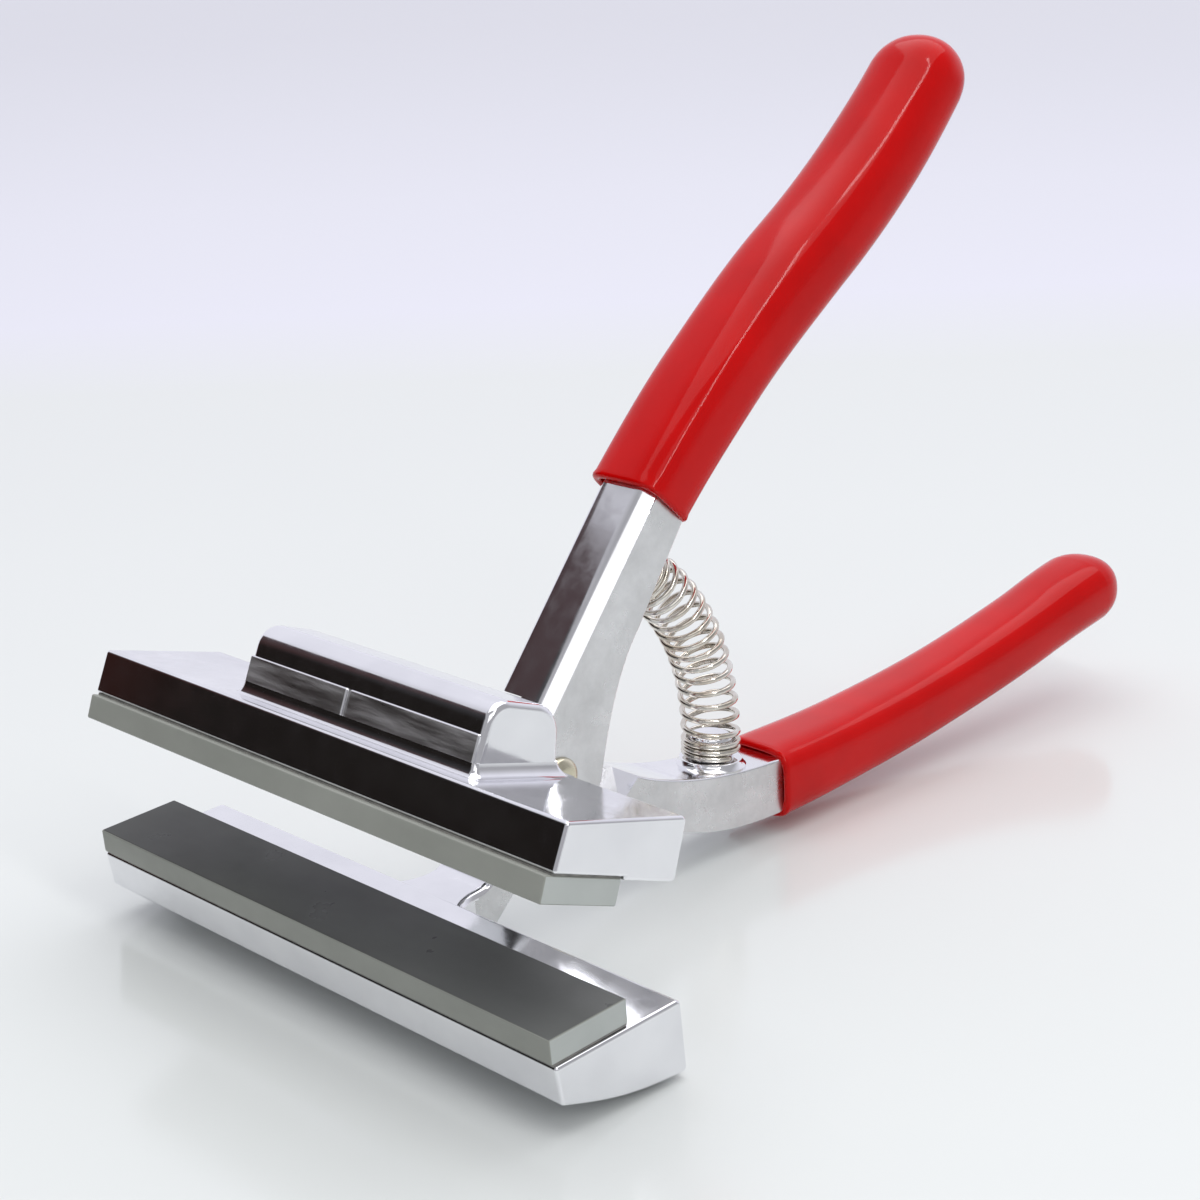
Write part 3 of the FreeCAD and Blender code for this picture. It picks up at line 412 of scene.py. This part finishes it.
def upper_casting(materials):
    """The upper jaw with its boss, its neck, its half of the lap and the lower handle's shank."""
    front = -JAW_REACH + 1.6
    back = -JAW_REACH + 26.8
    ledge = -JAW_REACH + PAD_DEPTH
    corners = [(front, UPPER_SEAT + 7.7), (front - 0.5, UPPER_SEAT), (ledge + 0.1, UPPER_SEAT),
               (ledge + 0.2, UPPER_SEAT - 0.5), (back, UPPER_SEAT - 0.5), (back - 0.4, UPPER_SEAT + 9.7)]
    mesh = bmesh.new()
    bar(mesh, corners, [0.7, 0.5, 0.06, 0.2, 0.8, 1.0], -JAW_HALF, JAW_HALF, EDGE)
    hammer_boss(mesh, front, math.atan2(2, back - 0.4 - front))

    # neck with the opening stop on top, flaring into the jaw's back
    stations = flare_stations(UPPER_SEAT - 0.4, 0, 5.2, 2.2)
    stations += [(-19, -4.5, 7.9, 0), (-12, -4.9, 9.3, 0), (-7, -5.0, 9.6, 0)]
    neck(mesh, stations, 6)

    # round the lobe, under the shank to the grip, and back along its top to the shoulder
    mouth_left, mouth_right = handle_mouth("lower")
    outline = pivot_arc(LOBE - 0.1, 8, 265, 22)
    low, bend = outline[-1], Vector((37, -8.6))
    outline += [low.lerp(bend, k / 8) for k in range(1, 9)]
    outline += curve_through(bend, Vector((49.5, -7)), mouth_right, 8) + [mouth_left]
    shoulder = Vector((19.5, 1.3))
    outline += curve_through(mouth_left, Vector((38, 2)), shoulder, 12)
    outline.append(shoulder.lerp(outline[0], 0.5))
    shank = plate(outline, [0] * len(outline), 0.8)
    lap = [(-LAP_REACH, 19), (-LAP_REACH, -16),
           ray(shoulder, -19, SHOULDER_HEADING), ray(shoulder, 20, SHOULDER_HEADING)]
    shank = cut(shank, lap, -LAP_GAP, ARM_HALF + 1)
    join(mesh, shank)
    spring_seat(mesh, "lower")
    return finish_mesh("upper_jaw_casting", mesh, "upper", BODY["upper"], materials)


# ---------------------------------------------------------------- pads

def pad_strip(name, side, low, materials):
    """A rubber strip across a jaw, from its underside's height upwards."""
    mesh = bmesh.new()
    corners = [(-JAW_REACH, low), (-JAW_REACH + PAD_DEPTH, low),
               (-JAW_REACH + PAD_DEPTH, low + PAD_THICK), (-JAW_REACH, low + PAD_THICK)]
    bar(mesh, corners, [PAD_EDGE] * 4, -PAD_HALF, PAD_HALF, PAD_EDGE, steps=3)
    return finish_mesh(name, mesh, side, BODY[side], materials)


# ---------------------------------------------------------------- grips

def handle_line(side, steps=40):
    """Points and headings along a handle's centre line."""
    start, angle, first, second = HANDLES[side]
    run = [(start, angle)]
    run += arc_run(start, angle, first[0], first[1], steps)
    bend, heading = run[-1]
    run += arc_run(bend, heading, second[0], second[1], steps)
    return run


def grip(name, side, body_side, swell, material):
    """A dipped sleeve: thick lip at the mouth, waisted along its length, round bulb at the tip."""
    run = handle_line(side)
    lengths = [0]
    for (here, _), (following, _) in zip(run, run[1:]):
        lengths.append(lengths[-1] + math.dist(here, following))
    total = lengths[-1]
    half_wide, half_thick = 8.5, 7.1
    square, tip_square = 3.7, 2.6
    lip, bulb, spacing = 0.75, 8.2, 1.6

    def section(reach, wide, thick, squareness):
        """A rounded-square ring across the sleeve; a squareness of 2 is an ellipse."""
        index = min(range(len(lengths)), key=lambda k: abs(lengths[k] - reach))
        (y, z), heading = run[index]
        y, z = ray((y, z), reach - lengths[index], heading)
        turn = math.radians(heading)
        ring = []
        for k in range(56):
            angle = 2 * math.pi * k / 56
            c, s = math.cos(angle), math.sin(angle)
            across = wide * math.copysign(abs(c) ** (2 / squareness), c)
            up = thick * math.copysign(abs(s) ** (2 / squareness), s)
            ring.append((across, y - up * math.sin(turn), z + up * math.cos(turn)))
        return ring

    def scale(reach):
        """The swell at a reach, eased between its values at fixed shares of the length."""
        marks = [0, 0.25, 0.5, 0.75, 0.92, 1]
        share = reach / total
        for (a, b), (low, high) in zip(zip(marks, marks[1:]), zip(swell, swell[1:])):
            if share <= b:
                t = (share - a) / (b - a)
                t = t * t * (3 - 2 * t)
                return low + (high - low) * t
        return swell[-1]

    mesh = bmesh.new()
    rings = [section(1.6, ARM_HALF + 0.1, ARM_THICK / 2 + 0.1, 4.5)]
    bore_wide, bore_thick = ARM_HALF + 0.15, ARM_THICK / 2 + 0.15
    for step in range(7):
        turn = math.pi * step / 6
        wide = (bore_wide + half_wide) / 2 - (half_wide - bore_wide) / 2 * math.cos(turn)
        thick = (bore_thick + half_thick) / 2 - (half_thick - bore_thick) / 2 * math.cos(turn)
        rings.append(section(lip * (1 - math.sin(turn)), wide, thick, square + 0.4))
    reach = 1.5
    while reach < total - bulb:
        grow = scale(reach)
        softened = square + (tip_square - square) * reach / total
        rings.append(section(reach, half_wide * grow, half_thick * grow, softened))
        reach += spacing
    grow = scale(total - bulb)
    for step in range(0, 13):
        turn = math.pi / 2 * step / 12
        out = total - bulb + bulb * math.sin(turn)
        shrink = max(0.02, math.cos(turn)) ** 0.8
        blend = tip_square + (2.1 - tip_square) * math.sin(turn)
        rings.append(section(out, half_wide * grow * shrink, half_thick * grow * shrink, blend))
    loft(mesh, rings)
    return finish_mesh(name, mesh, body_side, BODY[body_side], [material], sharp=70)


# ---------------------------------------------------------------- pivot fastener

def pivot_head(material):
    """The screw's domed head, its shank and the rings of thread that end it."""
    mesh = bmesh.new()
    radius, rim, rise = 3.6, 7.1, 1.5
    dome = [(6.5, 3.5), (6.8, radius), (rim, radius)]
    dome += [(rim + rise * math.sin(math.pi / 2 * k / 10), radius * math.cos(math.pi / 2 * k / 10) ** 0.75)
             for k in range(1, 10)]
    dome.append((rim + rise, 0.3))
    loft(mesh, [circle(x, reach, 48) for x, reach in dome])
    loft(mesh, [circle(x, reach, 32) for x, reach in ((-13.1, 1.9), (-12.6, 2.4), (6.6, 2.4))])
    pitch, root, crest = 0.5, 2.35, 2.5
    for turn in range(5):
        x = -12.7 + turn * pitch
        loft(mesh, [circle(x + offset, reach, 32)
                    for offset, reach in ((0, root), (pitch / 2, crest), (pitch, root))])
    return finish_mesh("pivot_screw_turned", mesh, "lower", BODY["lower"], [material])


# ---------------------------------------------------------------- return spring

def lever_place(side, y, z):
    """A point of a lever's side view, turned by the lever's tilt, in millimetres from the pivot."""
    turn = math.radians(TILT[side])
    return Vector((0, y * math.cos(turn) - z * math.sin(turn), y * math.sin(turn) + z * math.cos(turn)))


def seat_axis(handle, lever):
    """Where the spring's line ends over a handle's seat, and the seat's direction."""
    (y, z), angle = SEATS[handle]
    reach = COLLAR_RISE + WIRE_STANDOFF
    spot = lever_place(lever, *ray((y, z), reach, angle))
    tip = lever_place(lever, *ray((y, z), reach + 1, angle))
    return spot, tip - spot


def return_spring(material):
    """One wire wound round a smooth line between the seats, with closed turns at both ends."""
    foot, up = seat_axis("lower", "upper")
    head, down = seat_axis("upper", "lower")
    lead = 16.5
    first, second = foot + up * lead, head + down * lead
    wire, coil = 0.56, 5.07
    end_turns, open_turns = 2.6, 13
    turns = 2 * end_turns + open_turns

    def line(share):
        rest = 1 - share
        spot = (foot * rest ** 3 + first * 3 * rest ** 2 * share
                + second * 3 * rest * share ** 2 + head * share ** 3)
        slope = ((first - foot) * rest ** 2 + (second - first) * 2 * rest * share
                 + (head - second) * share ** 2)
        return spot, slope.normalized()

    length = sum((line((k + 1) / 100)[0] - line(k / 100)[0]).length for k in range(100))
    closed_pitch = 1.2
    closed = closed_pitch * end_turns / length
    line_middle = line(0.5)[0]

    def centre(turn):
        if turn < end_turns:
            share = closed * turn / end_turns
        elif turn > turns - end_turns:
            share = 1 - closed * (turns - turn) / end_turns
        else:
            share = closed + (1 - 2 * closed) * (turn - end_turns) / open_turns
        spot, heading = line(share)
        across = Vector((1, 0, 0))
        side = across.cross(heading)
        angle = 2 * math.pi * turn
        return spot + (across * math.cos(angle) + side * math.sin(angle)) * coil

    mesh = bmesh.new()
    rings = []
    count = int(turns * 36)
    for step in range(count + 1):
        turn = turns * step / count
        here = centre(turn)
        heading = (centre(min(turn + 0.01, turns)) - centre(max(turn - 0.01, 0))).normalized()
        outward = here - line_middle
        outward = (outward - heading * outward.dot(heading)).normalized()
        side = heading.cross(outward)
        ring = []
        for k in range(12):
            swept = 2 * math.pi * k / 12
            ring.append(here + (outward * math.cos(swept) + side * math.sin(swept)) * wire)
        rings.append(ring)
    loft(mesh, rings)
    for face in mesh.faces:
        face.smooth = True
    bmesh.ops.recalc_face_normals(mesh, faces=mesh.faces)
    data = bpy.data.meshes.new("return_spring_coil")
    mesh.to_mesh(data)
    mesh.free()
    piece = bpy.data.objects.new("return_spring_coil", data)
    bpy.context.scene.collection.objects.link(piece)
    data.transform(Matrix.Translation(PIVOT) @ Matrix.Scale(MM, 4))
    data.materials.append(material)
    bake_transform(piece)
    return piece


# ---------------------------------------------------------------- materials

def new_material(name, colour, metallic, roughness):
    material = bpy.data.materials.new(name)
    material.use_nodes = True
    shader = material.node_tree.nodes["Principled BSDF"]
    shader.inputs["Base Color"].default_value = (*colour, 1)
    shader.inputs["Metallic"].default_value = metallic
    shader.inputs["Roughness"].default_value = roughness
    return material, material.node_tree, shader


def add_node(tree, kind, **settings):
    node = tree.nodes.new(kind)
    for key, value in settings.items():
        if key.startswith("in_"):
            node.inputs[key[3:].replace("_", " ")].default_value = value
        else:
            setattr(node, key, value)
    return node


def noise(tree, scale, detail=3, roughness=0.5, stretch=(1, 1, 1)):
    """Noise in the row frame's metres, stretched along chosen axes."""
    where = add_node(tree, "ShaderNodeTexCoord")
    mapping = add_node(tree, "ShaderNodeMapping")
    mapping.inputs["Scale"].default_value = stretch
    tree.links.new(where.outputs["Object"], mapping.inputs["Vector"])
    texture = add_node(tree, "ShaderNodeTexNoise", in_Scale=scale, in_Detail=detail, in_Roughness=roughness)
    tree.links.new(mapping.outputs["Vector"], texture.inputs["Vector"])
    return texture.outputs["Fac"]


def ramp(tree, source, low, high, start=0.3, end=0.7):
    """Turns a 0 to 1 value into a number between low and high."""
    node = add_node(tree, "ShaderNodeMapRange")
    node.inputs["From Min"].default_value = start
    node.inputs["From Max"].default_value = end
    node.inputs["To Min"].default_value = low
    node.inputs["To Max"].default_value = high
    tree.links.new(source, node.inputs["Value"])
    return node.outputs["Result"]


def tint(tree, source, first, second, start=0.3, end=0.7):
    """Turns a 0 to 1 value into a colour between two."""
    node = add_node(tree, "ShaderNodeValToRGB")
    node.color_ramp.elements[0].position = start
    node.color_ramp.elements[0].color = (*first, 1)
    node.color_ramp.elements[1].position = end
    node.color_ramp.elements[1].color = (*second, 1)
    tree.links.new(source, node.inputs["Fac"])
    return node.outputs["Color"]


def bump(tree, shader, source, strength, distance):
    """Adds relief to a shader, over any relief that it already has."""
    node = add_node(tree, "ShaderNodeBump", in_Strength=strength, in_Distance=distance)
    tree.links.new(source, node.inputs["Height"])
    if shader.inputs["Normal"].links:
        tree.links.new(shader.inputs["Normal"].links[0].from_socket, node.inputs["Normal"])
    tree.links.new(node.outputs["Normal"], shader.inputs["Normal"])


def chrome_material():
    """Bright chrome over a hand-polished casting: slight waves, hairlines and a few dull spots."""
    material, tree, shader = new_material("chrome_plate", (0.86, 0.86, 0.885), 1, 0.1)
    tree.links.new(ramp(tree, noise(tree, 260, 4, 0.6), 0.06, 0.15), shader.inputs["Roughness"])
    tree.links.new(tint(tree, noise(tree, 90, 3), (0.80, 0.80, 0.83), (0.88, 0.88, 0.905)),
                   shader.inputs["Base Color"])
    bump(tree, shader, noise(tree, 60, 2, 0.4), 0.05, 0.0004)
    bump(tree, shader, noise(tree, 900, 5, 0.6, (0.12, 1, 1)), 0.06, 0.00003)
    return material


def satin_material():
    """The plate over a ground side: cloudy and only half bright."""
    material, tree, shader = new_material("satin_chrome", (0.72, 0.72, 0.73), 1, 0.3)
    tree.links.new(ramp(tree, noise(tree, 150, 5, 0.65), 0.22, 0.4), shader.inputs["Roughness"])
    tree.links.new(tint(tree, noise(tree, 110, 5, 0.65), (0.62, 0.62, 0.625), (0.80, 0.80, 0.81)),
                   shader.inputs["Base Color"])
    bump(tree, shader, noise(tree, 420, 5, 0.6), 0.2, 0.00006)
    return material


def grip_material():
    """Glossy dipped vinyl: deep red with a clear skin that ripples slightly."""
    material, tree, shader = new_material("dipped_vinyl", (0.62, 0.002, 0.002), 0, 0.22)
    shader.inputs["Specular IOR Level"].default_value = 0.2
    tree.links.new(tint(tree, noise(tree, 60, 3), (0.52, 0.001, 0.001), (0.62, 0.002, 0.002)),
                   shader.inputs["Base Color"])
    tree.links.new(ramp(tree, noise(tree, 130, 3), 0.07, 0.12), shader.inputs["Roughness"])
    bump(tree, shader, noise(tree, 60, 2, 0.4), 0.12, 0.0005)
    bump(tree, shader, noise(tree, 1500, 3), 0.08, 0.00003)
    return material


def cast_band_material():
    """Unpolished plate with streaks along the jaw, as left below the boss's parting line."""
    material, tree, shader = new_material("cast_band", (0.70, 0.70, 0.70), 1, 0.4)
    streaks = noise(tree, 500, 4, 0.6, (0.1, 1, 1))
    tree.links.new(ramp(tree, streaks, 0.24, 0.5), shader.inputs["Roughness"])
    tree.links.new(tint(tree, streaks, (0.45, 0.44, 0.43), (0.85, 0.84, 0.85)), shader.inputs["Base Color"])
    bump(tree, shader, streaks, 0.5, 0.00025)
    return material


def pad_material(name, dark, light, smooth, rough):
    """Grey-green moulded rubber with dust-fine grain and faint drag marks."""
    material, tree, shader = new_material(name, light, 0, rough)
    tree.links.new(tint(tree, noise(tree, 45, 5, 0.6, (0.5, 1, 1)), dark, light),
                   shader.inputs["Base Color"])
    tree.links.new(ramp(tree, noise(tree, 300, 4), smooth, rough), shader.inputs["Roughness"])
    bump(tree, shader, noise(tree, 1800, 4), 0.06, 0.00003)
    return material


def pad_face_painted_shade_material():
    """The gripping face: smooth rubber painted dark for the shade that falls on it between the jaws, and
    painted paler towards its +X end for the light that falls there.
    """
    material, tree, shader = new_material("pad_face_rubber_painted_shade", (0.08, 0.085, 0.078), 0, 0.3)
    shader.inputs["Specular IOR Level"].default_value = 0.22
    where = add_node(tree, "ShaderNodeTexCoord")
    split = add_node(tree, "ShaderNodeSeparateXYZ")
    tree.links.new(where.outputs["Object"], split.inputs["Vector"])
    # painted light: the face turns paler towards its +X end
    painted_lit_end = ramp(tree, split.outputs["X"], 0, 1, -0.005, 0.055)
    mottle = noise(tree, 45, 5, 0.6, (0.5, 1, 1))
    mix = add_node(tree, "ShaderNodeMix", data_type="RGBA", blend_type="MIX")
    tree.links.new(painted_lit_end, mix.inputs["Factor"])
    tree.links.new(tint(tree, mottle, (0.045, 0.047, 0.042), (0.075, 0.078, 0.070)), mix.inputs["A"])
    tree.links.new(tint(tree, mottle, (0.13, 0.135, 0.13), (0.17, 0.175, 0.17)), mix.inputs["B"])
    tree.links.new(mix.outputs["Result"], shader.inputs["Base Color"])
    tree.links.new(ramp(tree, noise(tree, 120, 4), 0.26, 0.36), shader.inputs["Roughness"])
    return material


def film_material():
    """The thin line of adhesive between a pad and its jaw."""
    material, tree, shader = new_material("bond_line", (0.2, 0.2, 0.19), 0, 0.5)
    tree.links.new(tint(tree, noise(tree, 500, 3), (0.16, 0.16, 0.15), (0.28, 0.27, 0.25)),
                   shader.inputs["Base Color"])
    return material


def spring_material():
    """Nickel-plated wire with warm, slightly smoked colour."""
    material, tree, shader = new_material("nickel_wire", (0.72, 0.69, 0.62), 1, 0.1)
    tree.links.new(tint(tree, noise(tree, 180, 3), (0.50, 0.44, 0.36), (0.80, 0.78, 0.73)),
                   shader.inputs["Base Color"])
    tree.links.new(ramp(tree, noise(tree, 600, 3), 0.07, 0.18), shader.inputs["Roughness"])
    return material


def pivot_material():
    """Faintly yellow plating on the screw, washer and nut."""
    material, tree, shader = new_material("plated_fastener", (0.74, 0.68, 0.50), 1, 0.16)
    tree.links.new(tint(tree, noise(tree, 300, 4), (0.62, 0.58, 0.44), (0.80, 0.76, 0.60)),
                   shader.inputs["Base Color"])
    tree.links.new(ramp(tree, noise(tree, 700, 4), 0.12, 0.28), shader.inputs["Roughness"])
    bump(tree, shader, noise(tree, 900, 4), 0.15, 0.00004)
    return material


# ---------------------------------------------------------------- build the pliers

chrome = chrome_material()
satin = satin_material()
cast_band = cast_band_material()
grip_red = grip_material()
# The pad rubber in two copies that differ only in lightness: a darker one on the long sides as painted
# shade, a paler one on the ends as painted light.
side_rubber_painted_shade = pad_material("pad_side_rubber_painted_shade", (0.26, 0.27, 0.24), (0.34, 0.35, 0.315), 0.38, 0.5)
end_rubber_painted_light = pad_material("pad_end_rubber_painted_light", (0.44, 0.47, 0.45), (0.52, 0.55, 0.53), 0.4, 0.5)
face_rubber_painted_shade = pad_face_painted_shade_material()
film = film_material()
nickel = spring_material()
plated = pivot_material()

lower = lower_casting([chrome, satin])
upper = upper_casting([chrome, satin, cast_band])

# the levers' flat sides near the pivot and behind it are satin
for casting, node in ((lower, "lower_jaw_lever"), (upper, "upper_jaw_lever")):
    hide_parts(node)
    for face in casting.data.polygons:
        middle = face.center - PIVOT
        if abs(face.normal.x) > 0.97 and middle.y > -0.02 and abs(face.center.x) < 0.01:
            face.material_index = 1

# the front of the boss below its parting line is as cast
to_upper_frame = Matrix.Rotation(math.radians(-TILT["upper"]), 3, "X")
for face in upper.data.polygons:
    middle = to_upper_frame @ (face.center - PIVOT) / MM
    facing = to_upper_frame @ face.normal
    if facing.y < -0.9 and 3 < middle.z < 10.5 and -46.4 < middle.y < -44 and -25.2 < middle.x < 34:
        face.material_index = 2

for name, side, low, node in (("lower_pad_strip", "lower", -PAD_DROP - PAD_THICK, "lower_jaw_pad"),
                              ("upper_pad_strip", "upper", -PAD_DROP, "upper_jaw_pad")):
    piece = pad_strip(name, side, low, [side_rubber_painted_shade, face_rubber_painted_shade, end_rubber_painted_light])
    facing = 1 if side == "lower" else -1
    # the gripping face takes the rubber painted dark for shade, the ends take the copy painted paler for
    # light, and the rest takes the copy painted darker for shade
    for face in piece.data.polygons:
        if face.normal.z * facing > 0.8:
            face.material_index = 1
        elif abs(face.normal.x) > 0.8:
            face.material_index = 2
    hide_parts(node)

for name, handle, lever, swell in (
        ("upper_grip_sleeve", "upper", "lower", (1.0, 1.04, 1.09, 1.09, 1.07, 1.07)),
        ("lower_grip_sleeve", "lower", "upper", (1.0, 0.95, 0.93, 0.95, 1.0, 1.0))):
    piece = grip(name, handle, lever, swell, grip_red)
    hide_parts(handle + "_handle_grip")

head = pivot_head(plated)
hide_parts("pivot_screw")

spring = return_spring(nickel)
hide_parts("return_spring")

for node, material in (("lower_pad_adhesive", film), ("upper_pad_adhesive", film),
                       ("pivot_washer", plated), ("pivot_nut", plated)):
    cad = frame["nodes"][node]
    cad.data.materials.clear()
    cad.data.materials.append(material)


# ---------------------------------------------------------------- stage, light and camera

def stage_plane(name, size, location, rotation, material):
    """A flat rectangle that isn't part of the object, with its rotation in degrees."""
    mesh = bmesh.new()
    bmesh.ops.create_grid(mesh, x_segments=1, y_segments=1, size=0.5)
    data = bpy.data.meshes.new(name)
    mesh.to_mesh(data)
    mesh.free()
    plane = bpy.data.objects.new(name, data)
    plane.scale = (size[0], size[1], 1)
    plane.location = location
    plane.rotation_euler = [math.radians(angle) for angle in rotation]
    data.materials.append(material)
    bpy.context.scene.collection.objects.link(plane)
    return plane


AWAY = (-0.73, 0.68, 0)     # across the table, from the camera's side to the far one


def along_away(tree, source):
    """How far a place or a direction lies along AWAY."""
    node = add_node(tree, "ShaderNodeVectorMath", operation="DOT_PRODUCT")
    node.inputs[1].default_value = AWAY
    tree.links.new(source, node.inputs[0])
    return node.outputs["Value"]


def floor_material():
    """A glossy pale table that turns lilac behind the object."""
    material, tree, shader = new_material("glossy_table", (0.83, 0.85, 0.845), 0, 0.16)
    tree.links.new(ramp(tree, noise(tree, 4, 3), 0.10, 0.18), shader.inputs["Roughness"])
    where = add_node(tree, "ShaderNodeNewGeometry")
    spread = ramp(tree, along_away(tree, where.outputs["Position"]), 0, 1, 0.42, 0.56)
    tree.links.new(tint(tree, spread, (0.76, 0.785, 0.77), (0.80, 0.80, 0.90), 0, 1),
                   shader.inputs["Base Color"])
    return material


def card_material():
    """A dark studio flag, blacker towards its foot and brown at one side."""
    material = bpy.data.materials.new("dark_flag")
    material.use_nodes = True
    tree = material.node_tree
    tree.nodes.clear()
    where = add_node(tree, "ShaderNodeTexCoord")
    split = add_node(tree, "ShaderNodeSeparateXYZ")
    tree.links.new(where.outputs["Generated"], split.inputs["Vector"])
    upward = tint(tree, split.outputs["Y"], (0.012, 0.010, 0.009), (0.055, 0.055, 0.06), 0.40, 0.95)
    brown = tint(tree, split.outputs["X"], (0, 0, 0), (0.024, 0.001, 0.0), 0.57, 0.62)
    mix = add_node(tree, "ShaderNodeMix", data_type="RGBA", blend_type="ADD")
    mix.inputs["Factor"].default_value = 1
    tree.links.new(upward, mix.inputs["A"])
    tree.links.new(brown, mix.inputs["B"])
    glow = add_node(tree, "ShaderNodeEmission")
    tree.links.new(mix.outputs["Result"], glow.inputs["Color"])
    clear = add_node(tree, "ShaderNodeBsdfTransparent")
    near_side = ramp(tree, split.outputs["X"], 0, 1, 0.0, 0.3)
    far_side = ramp(tree, split.outputs["X"], 1, 0, 0.8, 1.0)
    solid = add_node(tree, "ShaderNodeMath", operation="MULTIPLY")
    tree.links.new(near_side, solid.inputs[0])
    tree.links.new(far_side, solid.inputs[1])
    faded = add_node(tree, "ShaderNodeMixShader")
    tree.links.new(solid.outputs["Value"], faded.inputs["Fac"])
    tree.links.new(clear.outputs["BSDF"], faded.inputs[1])
    tree.links.new(glow.outputs["Emission"], faded.inputs[2])
    output = add_node(tree, "ShaderNodeOutputMaterial")
    tree.links.new(faded.outputs["Shader"], output.inputs["Surface"])
    return material


# The table is at z = 0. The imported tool's lowest point is 1.1 mm above it, as in the CAD.
stage_plane("table", (20, 20), (0, 0, 0), (0, 0, 0), floor_material())

card = stage_plane("flag", (1.1, 0.62), (-0.52, -0.55, 0.30), (90, 0, 137), card_material())
card.visible_camera = False
card.visible_diffuse = False
card.visible_shadow = False


def soft_box(name, size, location, target, power):
    """A rectangular lamp that faces a target."""
    lamp = bpy.data.lights.new(name, "AREA")
    lamp.shape = "RECTANGLE"
    lamp.size, lamp.size_y = size
    lamp.energy = power
    holder = bpy.data.objects.new(name, lamp)
    holder.location = location
    holder.rotation_euler = (Vector(target) - Vector(location)).to_track_quat("-Z", "Y").to_euler()
    bpy.context.scene.collection.objects.link(holder)


middle = (0, 0, 0.05)
soft_box("key_box", (0.75, 0.55), (0.70, -0.48, 0.60), middle, 1.1)
soft_box("strip_box", (0.05, 0.9), (0.55, -0.10, 0.75), middle, 1.6)
soft_box("top_box", (1.9, 1.9), (-0.1, 0.2, 1.5), middle, 14.2)

world = bpy.data.worlds.new("studio")
bpy.context.scene.world = world
world.use_nodes = True
sky_tree = world.node_tree
where = add_node(sky_tree, "ShaderNodeTexCoord")
backdrop = tint(sky_tree, along_away(sky_tree, where.outputs["Generated"]),
                (0.42, 0.42, 0.44), (0.86, 0.86, 0.94), 0.05, 0.5)
sky_tree.links.new(backdrop, sky_tree.nodes["Background"].inputs["Color"])

# The camera stands to the right of the jaws, a little above them, rolled slightly.
CAMERA_AZIMUTH = 47.23
CAMERA_ELEVATION = 17.37
CAMERA_ROLL = -2.5
CAMERA_FROM_PIVOT = Vector((0.2951, -0.25547, 0.15207))
lens = bpy.data.cameras.new("camera")
lens.sensor_width = 36
lens.lens = 72
camera = bpy.data.objects.new("camera", lens)
camera.location = PIVOT + CAMERA_FROM_PIVOT
camera.rotation_mode = "QUATERNION"
camera.rotation_quaternion = (Matrix.Rotation(math.radians(CAMERA_AZIMUTH), 3, "Z")
                              @ Matrix.Rotation(math.radians(90 - CAMERA_ELEVATION), 3, "X")
                              @ Matrix.Rotation(math.radians(CAMERA_ROLL), 3, "Z")).to_quaternion()
bpy.context.scene.collection.objects.link(camera)
bpy.context.scene.camera = camera

bpy.context.scene.view_settings.view_transform = "Standard"
